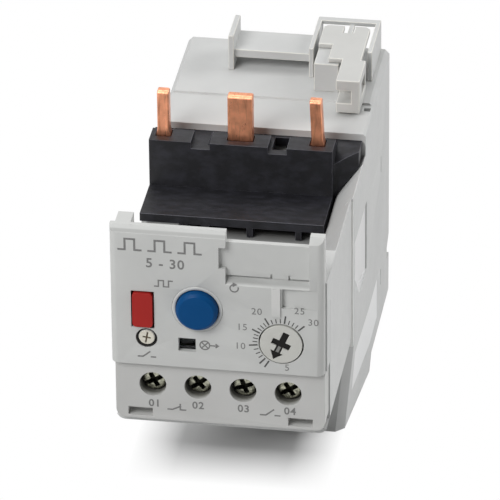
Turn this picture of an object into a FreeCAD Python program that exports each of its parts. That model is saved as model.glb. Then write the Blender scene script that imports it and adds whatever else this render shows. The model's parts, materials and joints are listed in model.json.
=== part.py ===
"""Motor overload relay, 45 mm class, that plugs into the load side of a contactor.

Frame: X to the right of the front face, Y from the front to the rear, Z up, origin under the
middle of the overall box. Inside each piece, Y is counted from the front face of the cover.
"""
import FreeCAD, Part
import os
from types import SimpleNamespace

import Sketcher

Vector = FreeCAD.Vector

# Driving dimensions in millimetres, by group: name and value.
SIZES = [
    # front cover
    ("cover_width", 44.25),
    ("cover_shift", -0.375),
    ("cover_thickness", 2.4),
    ("cover_bottom", 13.6),
    ("cover_top", 68.5),
    ("cover_radius", 1.6),
    ("cover_bevel", 1.3),
    ("label_left", 1.5),
    ("post_width", 3.0),
    ("post_depth", 0.6),
    ("label_bottom", 58.0),
    ("label_ramp", 1.4),
    ("label_drop", 2.4),
    ("label_recess", 1.2),
    ("label_slot_depth", 0.6),
    ("label_slot_height", 0.35),
    ("slot_end_rise", 0.8),
    ("slot_end_width", 0.4),
    ("label_tongue_left", 11.0),
    ("label_tongue_width", 3.3),
    ("finger_notch_width", 1.4),
    ("finger_notch_bottom", 60.3),
    ("finger_notch_height", 4.9),
    ("thumb_left", 13.1),
    ("thumb_width", 7.5),
    ("thumb_bottom", 52.0),
    ("thumb_height", 4.6),
    ("thumb_depth", 0.9),
    ("lug_left", -21.5),
    ("lug_width", 3.2),
    ("lug_depth", 4.1),
    ("lug_tab_width", 9.8),
    ("lug_tab_depth", 2.6),
    ("lug_tab_height", 1.6),
    ("pull_tab_left", 11.0),
    ("pull_tab_width", 1.8),
    ("pull_tab_bottom", 50.0),
    ("pull_tab_height", 6.6),
    ("pull_tab_proud", 0.3),
    # terminal strip under the cover
    ("strip_width", 43.6),
    ("strip_bottom", 1.4),
    ("strip_setback", 1.0),
    ("strip_face_depth", 4.0),
    ("strip_radius", 2.0),
    ("strip_block_depth", 10.4),
    ("control_pitch", 9.4),
    ("control_row_shift", 0.06),
    ("control_screw_height", 8.4),
    ("control_hole", 5.6),
    ("control_face_wall", 2.9),
    ("slot_width", 5.1),
    ("slot_height", 1.9),
    ("slot_bottom", 0.7),
    ("slot_depth", 2.6),
    ("slot_spread", 33.4),
    # casing, whose front part is wider than the strip by casing_width
    ("casing_width", 0.6),
    ("casing_wall", 2.2),
    ("roof_wall", 1.4),
    ("control_bottom", 21.4),
    ("control_depth", 38.0),
    ("control_top", 2.55),
    ("nose_depth", 16.0),
    ("ramp_run", 4.5),
    ("valley_floor", 10.0),
    ("control_radius", 2.0),
    ("fin_foot", 4.9),
    ("fin_edge", 0.2),
    ("fin_shoulder", 3.4),
    ("side_groove_width", 0.3),
    ("side_groove_depth", 0.3),
    ("side_groove_rise", 14.7),
    ("stub_width", 8.0),
    ("stub_depth", 8.0),
    ("body_depth", 95.0),
    ("body_width", 44.05),
    ("body_shift", 0.475),
    ("foot_width", 41.0),
    ("taper_depth", 26.0),
    ("rear_lift", 3.0),
    ("top_step", 1.5),
    ("rear_step", 0.5),
    ("step_depth", 13.0),
    ("top_bevel", 1.0),
    ("front_wall", 2.4),
    ("rear_wall", 4.8),
    ("foot_corner", 1.8),
    ("side_wall", 2.3),
    ("floor_wall", 2.4),
    ("cap_side_wall", 0.8),
    ("load_access", 7.2),
    ("wire_entry_width", 8.0),
    ("wire_entry_depth", 7.0),
    ("control_entry_width", 5.2),
    ("control_entry_depth", 5.2),
    ("rear_groove_bottom", 12.3),
    ("rear_groove_height", 2.8),
    ("rear_groove_slope", 2.2),
    ("rear_groove_depth", 3.2),
    ("vent_front", 40.6),
    ("vent_depth", 3.6),
    ("vent_reach", 18.2),
    ("vent_bottom", 36.4),
    ("vent_height", 8.8),
    ("vent_bevel", 7.6),
    ("vent_recess", 1.7),
    ("vent_edge", 0.25),
    ("side_slit_front", 81.4),
    ("side_slit_width", 0.6),
    ("side_slit_height", 4.0),
    ("side_slit_depth", 0.5),
    ("side_slit_low", 11.5),
    ("side_slit_high", 39.6),
    # black carrier of the power pins
    ("carrier_left", 22.5),
    ("carrier_right", 16.6),
    ("carrier_wall", 2.0),
    ("ledge_reach", 2.0),
    ("ledge_depth", 12.5),
    ("ledge_thickness", 1.9),
    ("rib_height", 2.3),
    ("rib_width", 1.3),
    ("rib_one", -13.9),
    ("rib_two", -9.1),
    ("rib_three", 0.2),
    ("rib_four", 10.5),
    ("cap_rise", 9.3),
    ("cap_depth", 8.5),
    ("cap_thickness", 2.0),
    ("lip_rise", 1.5),
    ("boss_depth", 5.4),
    ("notch_width", 4.0),
    ("window_width", 5.5),
    ("small_window_width", 2.7),
    ("window_margin", 1.4),
    ("window_inset", 0.55),
    ("loop_depth", 1.3),
    ("loop_wall", 1.5),
    ("loop_floor", 0.3),
    ("loop_corner", 0.8),
    ("wing_thickness", 4.5),
    ("wing_fall", 3.2),
    ("wing_edge", 0.2),
    ("wing_root", 0.9),
    ("wing_reach", 5.15),
    ("wing_slant", 2.0),
    ("wing_front", 1.7),
    # copper power conductors
    ("pin_pitch", 16.4),
    ("pin_row_shift", -3.35),
    ("pin_top", 72.8),
    ("pin_width", 5.3),
    ("side_pin_width", 2.5),
    ("side_pin_foot", 3.0),
    ("right_pin_lean", 0.4),
    ("pin_depth", 2.5),
    ("pin_bevel", 0.5),
    ("pin_clearance", 0.2),
    ("foot_rise", 1.6),
    ("load_pitch", 12.0),
    ("jog_bottom", 46.0),
    ("jog_relief", 1.4),
    ("bar_width", 5.0),
    ("bar_bottom", 8.0),
    # current transformers
    ("core_width", 11.6),
    ("core_depth", 15.0),
    ("core_bottom", 24.0),
    ("core_height", 13.0),
    ("core_clearance", 0.45),
    ("winding_wall", 0.9),
    ("winding_clearance", 0.1),
    # load terminals
    ("load_clamp_width", 10.8),
    ("load_clamp_depth", 13.6),
    ("load_clamp_height", 12.0),
    ("load_clamp_wall", 1.4),
    ("load_screw_height", 12.0),
    ("load_screw_head", 6.6),
    ("load_screw_head_height", 2.0),
    ("load_screw_shank", 4.0),
    ("load_screw_length", 3.0),
    ("seat_clearance", 0.2),
    # control terminals
    ("control_clamp_width", 6.4),
    ("control_clamp_depth", 6.6),
    ("control_clamp_height", 7.6),
    ("control_clamp_wall", 1.1),
    ("control_screw_head", 5.0),
    ("control_screw_head_height", 1.6),
    ("control_screw_sunk", 3.1),
    ("control_screw_shank", 3.0),
    ("control_screw_length", 4.6),
    ("thread_clearance", 0.1),
    # push buttons
    ("reset_across", -4.37),
    ("reset_height", 14.0),
    ("reset_diameter", 8.7),
    ("reset_proud", 1.8),
    ("reset_ring", 10.6),
    ("reset_ring_depth", 0.5),
    ("button_clearance", 0.3),
    ("button_flange", 0.9),
    ("flange_thickness", 1.2),
    ("flange_gap", 0.3),
    ("reset_stem", 3.8),
    ("button_bevel", 0.7),
    ("test_across", -15.72),
    ("test_height", 2.7),
    ("test_width", 4.2),
    ("test_tall", 8.0),
    ("test_proud", 0.5),
    ("test_radius", 0.8),
    ("test_stem", 2.8),
    ("trip_across", -15.0),
    ("trip_height", 6.38),
    ("trip_diameter", 3.4),
    ("trip_sunk", 0.3),
    ("trip_ring", 4.5),
    ("trip_collar", 5.0),
    ("trip_length", 7.4),
    ("trip_stem", 2.2),
    # setting dial and potentiometer
    ("dial_across", 12.9),
    ("dial_height", 7.2),
    ("dial_diameter", 8.8),
    ("dial_proud", 0.2),
    ("dial_shaft", 3.0),
    ("shaft_clearance", 0.05),
    ("dial_rest_angle", 24.0),
    ("pointer_width", 1.4),
    ("pointer_up", 2.9),
    ("pointer_across", 4.0),
    ("pointer_neck", 2.1),
    ("pointer_head", 2.9),
    ("pointer_tip", 4.0),
    ("pointer_depth", 0.8),
    ("pointer_sunk", 0.3),
    ("pot_width", 9.6),
    ("pot_tall", 10.0),
    ("pot_depth", 4.4),
    ("pot_bite", 2.8),
    # status window and flag
    ("window_across", -6.6),
    ("window_height", 5.4),
    ("lens_width", 3.4),
    ("lens_tall", 2.9),
    ("lens_sunk", 0.9),
    ("lens_flange", 0.8),
    ("lens_flange_thickness", 0.8),
    ("flag_gap", 0.4),
    ("flag_thickness", 0.8),
    ("flag_width", 8.0),
    ("flag_tall", 3.4),
    # inner frame, board, trip mechanism
    ("frame_front", 12.0),
    ("frame_thickness", 1.4),
    ("frame_bottom", 1.0),
    ("frame_clearance", 0.2),
    ("board_front", 29.0),
    ("board_thickness", 1.6),
    ("slider_front", 17.6),
    ("slider_depth", 3.0),
    ("slider_bottom", 28.0),
    ("slider_bar_height", 3.0),
    ("slider_left", -15.5),
    ("slider_length", 27.5),
    ("upright_left", -13.0),
    ("upright_width", 3.6),
    ("slider_travel", 3.2),
    ("arm_thickness", 1.2),
    ("arm_height", 1.4),
    ("arm_left", -11.6),
    ("rail_gap", 0.2),
    ("rail_width", 4.0),
    ("rail_spread", 12.0),
    ("coil_left", -3.6),
    ("coil_length", 13.2),
    ("coil_diameter", 6.6),
    ("coil_height", 0.4),
    ("plunger_diameter", 3.8),
    ("plunger_length", 14.4),
    ("plunger_clearance", 0.3),
    ("yoke_thickness", 1.2),
    ("yoke_margin", 0.3),
    ("contact_width", 3.0),
    ("contact_thickness", 0.8),
    ("contact_gap", 0.2),
    ("bridge_height", 1.8),
    ("bridge_thickness", 0.7),
    ("open_bridge_reach", 9.6),
    # springs
    ("reset_wire", 0.6),
    ("test_wire", 0.5),
    ("trip_wire", 0.45),
    ("spring_clearance", 0.35),
    ("spring_turns", 4.0),
    # mounting bracket and latch on the rear top
    ("ear_left", -10.6),
    ("ear_thickness", 1.2),
    ("ear_height", 8.2),
    ("ear_depth", 10.0),
    ("shelf_depth", 9.0),
    ("shelf_thickness", 1.9),
    ("shelf_gap", 2.6),
    ("bracket_setback", 4.0),
    ("cage_left", 7.05),
    ("cage_width", 13.65),
    ("cage_wall", 1.0),
    ("cage_depth", 15.2),
    ("cage_height", 7.0),
    ("rail_thickness", 0.95),
    ("rail_depth", 1.8),
    ("tongue_width", 1.1),
    ("tongue_thickness", 0.9),
    ("tongue_drop", 0.6),
    ("block_left", 9.0),
    ("block_width", 5.3),
    ("block_setback", 7.0),
    ("block_depth", 14.1),
    ("block_height", 6.6),
    ("latch_gap", 0.1),
    ("latch_plate", 1.1),
    ("latch_setback", 5.1),
    ("latch_cross_width", 10.1),
    ("latch_cross_depth", 8.9),
    ("latch_corner", 0.9),
    ("latch_waist_left", 12.0),
    ("latch_waist_depth", 6.4),
    ("latch_head_left", 15.0),
    ("latch_head_width", 5.1),
    ("latch_head_depth", 9.8),
    ("latch_head_height", 7.7),
    ("latch_notch_left", 13.5),
    ("latch_notch_width", 2.3),
    ("latch_notch_depth", 3.2),
    ("latch_window_low", 2.3),
    ("latch_window_tall", 3.0),
    ("latch_window_width", 3.2),
    ("latch_window_depth", 5.0),
    ("latch_slot_front", 3.5),
    ("latch_slot_depth", 5.4),
    ("surface_hole_left", 20.6),
    ("surface_hole_front", 67.3),
    ("surface_hole_size", 1.4),
    ("surface_hole_depth", 1.2),
    ("over", 6.0),
]


class Size:
    """A length that carries its present value and the sheet expression that drives it."""

    def __init__(self, value, text):
        self.value = float(value)
        self.text = text

    @staticmethod
    def of(item):
        return item if isinstance(item, Size) else Size(item, repr(float(item)))

    def __add__(self, other):
        other = Size.of(other)
        return Size(self.value + other.value, f"({self.text} + {other.text})")

    def __sub__(self, other):
        other = Size.of(other)
        return Size(self.value - other.value, f"({self.text} - {other.text})")

    def __mul__(self, factor):
        factor = Size.of(factor)
        return Size(self.value * factor.value, f"({self.text} * {factor.text})")

    def __truediv__(self, divisor):
        divisor = Size.of(divisor)
        return Size(self.value / divisor.value, f"({self.text} / {divisor.text})")

    def __radd__(self, other):
        return Size.of(other) + self

    def __rsub__(self, other):
        return Size.of(other) - self

    def __neg__(self):
        return Size(-self.value, f"(-{self.text})")

    def or_more(self, other):
        """The larger of two lengths."""
        return Size(max(self.value, other.value), f"max({self.text}; {other.text})")


doc = FreeCAD.newDocument("overload_relay")
sheet = doc.addObject("Spreadsheet::Sheet", "dims")
for row, (alias, number) in enumerate(SIZES, 1):
    sheet.set(f"A{row}", alias.replace("_", " "))
    sheet.set(f"B{row}", str(number))
    sheet.setAlias(f"B{row}", alias)
doc.recompute()
d = SimpleNamespace(**{alias: Size(sheet.get(alias), f"dims.{alias}") for alias, number in SIZES})

PIECES = []
ZERO = Size.of(0.0)
FULL_TURN = 360.0
SPRING_STEPS = 12
SPRING_SIDES = 6

# Levels and stations that several pieces share.
FACE_Y = -(d.body_depth - d.reset_proud) / 2
COVER_BACK = d.cover_thickness
COVER_LEFT = d.cover_shift - d.cover_width / 2
COVER_RIGHT = d.cover_shift + d.cover_width / 2
HALF_CASING = (d.strip_width + d.casing_width) / 2
HALF_FOOT = d.foot_width / 2
BODY_LEFT = d.body_shift - d.body_width / 2
BODY_RIGHT = d.body_shift + d.body_width / 2
TAPER_END = d.control_depth + d.taper_depth
LEDGE_FRONT = d.control_depth - d.ledge_reach
WALL_FRONT = LEDGE_FRONT + d.ledge_depth
WALL_BACK = WALL_FRONT + d.carrier_wall
CAP_BACK = WALL_FRONT + d.cap_depth
STEP_BACK = CAP_BACK + d.step_depth
STRIP_BOTTOM = d.control_bottom + d.strip_bottom
COVER_BOTTOM = STRIP_BOTTOM + d.cover_bottom
SLOT_BOTTOM = STRIP_BOTTOM + d.slot_bottom
SCREW_HEIGHT = STRIP_BOTTOM + d.control_screw_height
DIAL_HEIGHT = COVER_BOTTOM + d.dial_height
WINDOW_HEIGHT = COVER_BOTTOM + d.window_height
FRAME_BOTTOM = COVER_BOTTOM + d.frame_bottom
TRIP_HEIGHT = COVER_BOTTOM + d.trip_height
TEST_HEIGHT = TRIP_HEIGHT + d.test_height + d.test_tall / 2
RESET_HEIGHT = COVER_BOTTOM + d.reset_height
RESET_TOP = RESET_HEIGHT + d.reset_diameter / 2
CONTROL_TOP = RESET_TOP.or_more(TEST_HEIGHT + d.test_tall / 2) + d.control_top
VALLEY_FLOOR = CONTROL_TOP - d.valley_floor
FIN_SHOULDER = VALLEY_FLOOR + d.fin_shoulder
FIN_ROOT = HALF_CASING - d.fin_foot
FIN_RISE = (CONTROL_TOP - FIN_SHOULDER) / (BODY_RIGHT - d.fin_edge - FIN_ROOT)
LEDGE_UNDER = VALLEY_FLOOR + d.rib_height
LEDGE_TOP = LEDGE_UNDER + d.ledge_thickness
CAP_TOP = LEDGE_TOP + d.cap_rise
CAP_UNDER = CAP_TOP - d.cap_thickness
LIP_TOP = CAP_TOP + d.lip_rise
STEP_TOP = CAP_TOP + d.top_step
REAR_TOP = STEP_TOP + d.rear_step
WING_UNDER = CAP_TOP - d.wing_thickness
PIN_FRONT = WALL_BACK + d.pin_clearance
PIN_BACK = PIN_FRONT + d.pin_depth
BAR_MIDDLE = PIN_FRONT + d.pin_depth / 2
CAVITY_FLOOR = d.rear_lift + d.floor_wall
SHELF_UNDER = VALLEY_FLOOR - d.casing_wall
COIL_HEIGHT = SHELF_UNDER - d.coil_height - d.yoke_margin - d.coil_diameter / 2
HALF_CAVITY = HALF_FOOT - d.side_wall
HALF_CONTROL_CAVITY = HALF_CASING - d.casing_wall
CONTROL_FLOOR = d.control_bottom + d.casing_wall
NOSE_ROOF = CONTROL_TOP - d.roof_wall
FLANGE_FRONT = COVER_BACK + d.flange_gap
FLANGE_BACK = FLANGE_FRONT + d.flange_thickness
STRIP_BACK = COVER_BACK + d.strip_block_depth
STRIP_FACE_BACK = COVER_BACK + d.strip_face_depth
CONTROL_ACROSS = [d.control_row_shift + d.control_pitch * step for step in (-1.5, -0.5, 0.5, 1.5)]
LOAD_ACROSS = [d.load_pitch * step for step in (-1, 0, 1)]
PIN_ACROSS = [d.pin_row_shift + d.pin_pitch * step for step in (-1, 0, 1)]


def new_body(label):
    """Start a piece."""
    body = doc.addObject("PartDesign::Body", label)
    body.Label = label
    return body


def place(piece, across=ZERO, height=ZERO, keep=True):
    """Set a piece's place in the frame and list it for export."""
    piece.setExpression("Placement.Base.x", across.text)
    piece.setExpression("Placement.Base.y", FACE_Y.text)
    piece.setExpression("Placement.Base.z", height.text)
    if keep:
        PIECES.append(piece)
    return piece


def origin_plane(body, role):
    """One of a body's own three planes."""
    return next(item for item in body.Origin.OriginFeatures if item.Role == role)


def new_sketch(body, name, plane, level):
    """An empty sketch on one of the body's planes, raised to a level along its normal."""
    sketch = body.newObject("Sketcher::SketchObject", name)
    sketch.AttachmentSupport = (origin_plane(body, f"{plane}_Plane"), "")
    sketch.MapMode = "FlatFace"
    sketch.setExpression("AttachmentOffset.Base.z", level.text)
    return sketch


def pin_point(sketch, geometry, corner, point):
    """Tie one sketch point to its two driven distances from the origin."""
    for kind, size in (("DistanceX", point[0]), ("DistanceY", point[1])):
        index = sketch.addConstraint(Sketcher.Constraint(kind, -1, 1, geometry, corner, size.value))
        sketch.setExpression(f"Constraints[{index}]", size.text)


def draw_polygon(sketch, points):
    """A closed outline whose corners are all driven."""
    points = [(Size.of(u), Size.of(v)) for u, v in points]
    places = [Vector(u.value, v.value, 0) for u, v in points]
    first = sketch.GeometryCount
    count = len(points)
    for index, start in enumerate(places):
        sketch.addGeometry(Part.LineSegment(start, places[(index + 1) % count]))
    for index in range(count):
        after = first + (index + 1) % count
        sketch.addConstraint(Sketcher.Constraint("Coincident", first + index, 2, after, 1))
    for index, point in enumerate(points):
        pin_point(sketch, first + index, 1, point)


def draw_circle(sketch, centre, diameter):
    """A driven circle."""
    u, v = Size.of(centre[0]), Size.of(centre[1])
    circle = Part.Circle(Vector(u.value, v.value, 0), Vector(0, 0, 1), diameter.value / 2)
    geometry = sketch.addGeometry(circle)
    index = sketch.addConstraint(Sketcher.Constraint("Diameter", geometry, diameter.value))
    sketch.setExpression(f"Constraints[{index}]", diameter.text)
    pin_point(sketch, geometry, 3, (u, v))


def box_outline(left, right, low, high):
    """The four corners of an upright rectangle."""
    return [(left, low), (right, low), (right, high), (left, high)]


def extrude(body, name, plane, low, high, outlines=(), circles=(), cut=False):
    """Add or cut a prism between two stations along the axis that the plane faces."""
    low, high = Size.of(low), Size.of(high)
    start = high if cut else low
    if plane == "XZ":
        start = -low if cut else -high
    sketch = new_sketch(body, f"{name}_outline", plane, start)
    for points in outlines:
        draw_polygon(sketch, points)
    for centre, diameter in circles:
        draw_circle(sketch, centre, diameter)
    feature = body.newObject("PartDesign::Pocket" if cut else "PartDesign::Pad", name)
    feature.Profile = sketch
    feature.setExpression("Length", (high - low).text)
    sketch.Visibility = False
    return feature


def block(body, name, across, along, up, cut=False):
    """A rectangular prism from its spans in X, Y and Z."""
    outline = box_outline(across[0], across[1], up[0], up[1])
    return extrude(body, name, "XZ", along[0], along[1], [outline], cut=cut)


def on_line(edge, axis, first, second):
    """Whether a straight edge runs along an axis through a place given by the other two coordinates."""
    others = [index for index in range(3) if index != axis]
    ends = [vertex.Point for vertex in edge.Vertexes]
    wanted = (first.value, second.value)
    near = 1e-4
    return len(ends) == 2 and all(
        abs(end[index] - value) < near for end in ends for index, value in zip(others, wanted)
    )


def soften(body, name, size, lines, bevel=False):
    """Round or bevel the edges that lie on the given lines: axis number and two coordinates."""
    doc.recompute()
    base = body.Tip
    lines = [(axis, Size.of(first), Size.of(second)) for axis, first, second in lines]
    names = [
        f"Edge{number}"
        for number, edge in enumerate(base.Shape.Edges, 1)
        if any(on_line(edge, *line) for line in lines)
    ]
    feature = body.newObject("PartDesign::Chamfer" if bevel else "PartDesign::Fillet", name)
    feature.Base = (base, names)
    feature.setExpression("Size" if bevel else "Radius", size.text)
    return feature


def turned(label, points):
    """A piece turned about the Y axis from an outline of radius and station."""
    body = new_body(label)
    sketch = new_sketch(body, f"{label}_outline", "XY", ZERO)
    draw_polygon(sketch, points)
    feature = body.newObject("PartDesign::Revolution", f"{label}_turn")
    feature.Profile = sketch
    feature.ReferenceAxis = (sketch, ["V_Axis"])
    sketch.Visibility = False
    return body


def grouped(label, members):
    """Several equal solids as one node."""
    group = doc.addObject("Part::Compound", label)
    group.Label = label
    group.Links = members
    return place(group)


def spread(label, make, stations):
    """Repeat a body at stations across the part, as one node."""
    members = []
    for number, across in enumerate(stations, 1):
        member = make(f"{label}_{number}")
        member.setExpression("Placement.Base.x", Size.of(across).text)
        members.append(member)
    return grouped(label, members)


def make_front_cover():
    """Face plate with an apron above the control block, a label recess and openings for controls."""
    body = new_body("front_cover")
    label_right = COVER_RIGHT - d.post_width
    panel_top = d.cover_top - d.label_drop
    outline = [
        (COVER_LEFT, COVER_BOTTOM), (COVER_RIGHT, COVER_BOTTOM),
        (COVER_RIGHT, d.cover_top), (label_right, d.cover_top),
        (label_right, panel_top), (d.label_left, panel_top),
        (d.label_left, d.cover_top), (COVER_LEFT, d.cover_top),
    ]
    extrude(body, "cover_plate", "XZ", ZERO, COVER_BACK, [outline])
    soften(body, "cover_top_bevel", d.cover_bevel, [(0, ZERO, d.cover_top)], bevel=True)
    soften(body, "cover_rounding", d.cover_radius, [(2, COVER_RIGHT, ZERO), (2, COVER_LEFT, ZERO)])
    block(body, "cover_post", (label_right, COVER_RIGHT), (COVER_BACK, COVER_BACK + d.post_depth),
          (CONTROL_TOP, d.cover_top))
    lug_right = d.lug_left + d.lug_width
    block(body, "cover_lug", (d.lug_left, lug_right), (COVER_BACK, COVER_BACK + d.lug_depth),
          (CONTROL_TOP, d.cover_top))
    tab_bottom = panel_top - d.lug_tab_height
    block(body, "cover_lug_tab", (lug_right, lug_right + d.lug_tab_width),
          (COVER_BACK, COVER_BACK + d.lug_tab_depth), (tab_bottom, panel_top))
    block(body, "cover_pull_tab", (d.pull_tab_left, d.pull_tab_left + d.pull_tab_width),
          (-d.pull_tab_proud, ZERO), (d.pull_tab_bottom, d.pull_tab_bottom + d.pull_tab_height))
    pocket = [
        (-d.over, d.label_bottom - d.label_ramp), (ZERO, d.label_bottom - d.label_ramp),
        (d.label_recess, d.label_bottom), (d.label_recess, panel_top + d.over),
        (-d.over, panel_top + d.over),
    ]
    extrude(body, "label_pocket", "YZ", d.label_left, label_right, [pocket], cut=True)
    tongue_right = d.label_tongue_left + d.label_tongue_width
    slot_top = d.label_bottom + d.label_slot_height
    end_top = slot_top + d.slot_end_rise
    left_end, right_end = d.label_tongue_left - d.slot_end_width, tongue_right + d.slot_end_width
    slots = [
        [(d.label_left, d.label_bottom), (d.label_tongue_left, d.label_bottom),
         (d.label_tongue_left, end_top), (left_end, end_top), (left_end, slot_top),
         (d.label_left, slot_top)],
        [(tongue_right, d.label_bottom), (label_right, d.label_bottom), (label_right, slot_top),
         (right_end, slot_top), (right_end, end_top), (tongue_right, end_top)],
    ]
    extrude(body, "label_slots", "XZ", -d.over, d.label_recess + d.label_slot_depth, slots, cut=True)
    block(body, "finger_notch", (d.label_left - d.finger_notch_width, d.label_left + d.finger_notch_width),
          (-d.over, d.label_recess), (d.finger_notch_bottom, d.finger_notch_bottom + d.finger_notch_height),
          cut=True)
    thumb_right = d.thumb_left + d.thumb_width
    wedge = [(d.thumb_left, -d.over), (thumb_right, -d.over), (thumb_right, ZERO),
             (d.thumb_left, d.thumb_depth)]
    extrude(body, "thumb_hollow", "XY", d.thumb_bottom, d.thumb_bottom + d.thumb_height, [wedge], cut=True)
    rings = [((d.reset_across, RESET_HEIGHT), d.reset_ring)]
    extrude(body, "reset_ring", "XZ", -d.over, d.reset_ring_depth, circles=rings, cut=True)
    rings = [((d.trip_across, TRIP_HEIGHT), d.trip_ring)]
    extrude(body, "trip_ring", "XZ", -d.over, d.reset_ring_depth, circles=rings, cut=True)
    play = d.button_clearance * 2
    rounds = [
        ((d.reset_across, RESET_HEIGHT), d.reset_diameter + play),
        ((d.trip_across, TRIP_HEIGHT), d.trip_diameter + play),
        ((d.dial_across, DIAL_HEIGHT), d.dial_diameter + play),
    ]
    extrude(body, "round_openings", "XZ", -d.over, COVER_BACK, circles=rounds, cut=True)
    half_wide = d.test_width / 2 + d.button_clearance
    half_tall = d.test_tall / 2 + d.button_clearance
    block(body, "test_opening", (d.test_across - half_wide, d.test_across + half_wide),
          (-d.over, COVER_BACK), (TEST_HEIGHT - half_tall, TEST_HEIGHT + half_tall), cut=True)
    half_wide = d.lens_width / 2 + d.thread_clearance
    half_tall = d.lens_tall / 2 + d.thread_clearance
    block(body, "status_opening", (d.window_across - half_wide, d.window_across + half_wide),
          (-d.over, COVER_BACK), (WINDOW_HEIGHT - half_tall, WINDOW_HEIGHT + half_tall), cut=True)
    place(body)


def make_terminal_strip():
    """Lower face strip with the block behind it that houses the four control terminals."""
    body = new_body("terminal_strip")
    half = d.strip_width / 2
    top = COVER_BOTTOM - d.seat_clearance
    block(body, "strip_face", (-half, half), (d.strip_setback, STRIP_FACE_BACK), (STRIP_BOTTOM, top))
    inner = HALF_CONTROL_CAVITY - d.seat_clearance
    block_bottom = CONTROL_FLOOR + d.seat_clearance
    block(body, "strip_block", (-inner, inner), (STRIP_FACE_BACK, STRIP_BACK), (block_bottom, top))
    soften(body, "strip_rounding", d.strip_radius, [
        (1, half, STRIP_BOTTOM), (1, -half, STRIP_BOTTOM),
    ])
    pocket_front = d.strip_setback + d.control_face_wall + d.control_screw_head_height
    half_pocket = d.control_clamp_width / 2 + d.seat_clearance
    clamp_top = SCREW_HEIGHT + d.control_clamp_height / 2
    pocket_top = clamp_top + d.contact_thickness + d.seat_clearance
    pocket_bottom = clamp_top - d.control_clamp_height - d.seat_clearance
    pockets = [box_outline(at - half_pocket, at + half_pocket, pocket_bottom, pocket_top)
               for at in CONTROL_ACROSS]
    extrude(body, "clamp_pockets", "XZ", pocket_front, STRIP_BACK + d.over, pockets, cut=True)
    holes = [((at, SCREW_HEIGHT), d.control_hole) for at in CONTROL_ACROSS]
    extrude(body, "screw_holes", "XZ", -d.over, pocket_front, circles=holes, cut=True)
    entry_front = pocket_front + d.control_clamp_wall
    half_entry = d.control_entry_width / 2
    entries = [box_outline(at - half_entry, at + half_entry, entry_front,
                           entry_front + d.control_entry_depth) for at in CONTROL_ACROSS]
    extrude(body, "wire_entries", "XY", CONTROL_FLOOR - d.over, pocket_bottom, entries, cut=True)
    slots = [
        box_outline(at - d.slot_width / 2, at + d.slot_width / 2, SLOT_BOTTOM,
                    SLOT_BOTTOM + d.slot_height)
        for at in (-d.slot_spread / 2, d.slot_spread / 2)
    ]
    extrude(body, "face_slots", "XZ", -d.over, d.strip_setback + d.slot_depth, slots, cut=True)
    place(body)


def make_front_housing():
    """Control block casing: a tub open to the front, with a ramp down to the valley floor."""
    body = new_body("front_housing")
    profile = [
        (COVER_BACK, d.control_bottom), (d.control_depth, d.control_bottom),
        (d.control_depth, VALLEY_FLOOR), (d.nose_depth + d.ramp_run, VALLEY_FLOOR),
        (d.nose_depth, CONTROL_TOP), (COVER_BACK, CONTROL_TOP),
    ]
    extrude(body, "control_casing", "YZ", -HALF_CASING, HALF_CASING, [profile])
    fin = [
        (FIN_ROOT, VALLEY_FLOOR), (HALF_CASING, VALLEY_FLOOR), (HALF_CASING, CONTROL_TOP),
        (HALF_CASING - d.fin_edge, CONTROL_TOP), (FIN_ROOT, FIN_SHOULDER),
    ]
    extrude(body, "side_fin", "XZ", COVER_BACK, d.control_depth, [fin])
    block(body, "ledge_stub", (-HALF_CASING, -HALF_CASING + d.stub_width),
          (d.control_depth - d.stub_depth, d.control_depth), (VALLEY_FLOOR, LEDGE_UNDER))
    soften(body, "control_rounding", d.control_radius, [
        (1, HALF_CASING, d.control_bottom), (1, -HALF_CASING, d.control_bottom),
    ])
    far = HALF_CASING + d.over
    notch = box_outline(COVER_BACK - d.over, STRIP_FACE_BACK + d.seat_clearance,
                        STRIP_BOTTOM - d.seat_clearance, COVER_BOTTOM)
    extrude(body, "strip_seat", "YZ", -far, far, [notch], cut=True)
    groove_back = STRIP_FACE_BACK + d.seat_clearance
    groove = box_outline(groove_back - d.side_groove_width, groove_back, COVER_BOTTOM,
                         COVER_BOTTOM + d.side_groove_rise)
    extrude(body, "right_groove", "YZ", HALF_CASING - d.side_groove_depth, far, [groove], cut=True)
    extrude(body, "left_groove", "YZ", -far, -HALF_CASING + d.side_groove_depth, [groove], cut=True)
    back = d.control_depth - d.casing_wall
    inside = [
        (COVER_BACK - d.over, CONTROL_FLOOR), (back, CONTROL_FLOOR), (back, SHELF_UNDER),
        (d.nose_depth + d.ramp_run - d.casing_wall / 2, SHELF_UNDER),
        (d.nose_depth - d.casing_wall / 2, NOSE_ROOF), (COVER_BACK - d.over, NOSE_ROOF),
    ]
    extrude(body, "control_cavity", "YZ", -HALF_CONTROL_CAVITY, HALF_CONTROL_CAVITY, [inside], cut=True)
    rail_top = d.slider_bottom - d.rail_gap
    for name, at in (("rail_left", -d.rail_spread / 2), ("rail_right", d.rail_spread / 2)):
        block(body, name, (at - d.rail_width / 2, at + d.rail_width / 2),
              (d.slider_front + d.rail_gap, d.slider_front + d.slider_depth - d.rail_gap),
              (d.control_bottom + d.casing_wall / 2, rail_top))
    entry_front = d.strip_setback + d.control_face_wall + d.control_screw_head_height + d.control_clamp_wall
    half_entry = d.control_entry_width / 2
    entries = [box_outline(at - half_entry, at + half_entry, entry_front,
                           entry_front + d.control_entry_depth) for at in CONTROL_ACROSS]
    extrude(body, "wire_entries", "XY", d.control_bottom - d.over, CONTROL_FLOOR, entries, cut=True)
    place(body)


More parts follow.
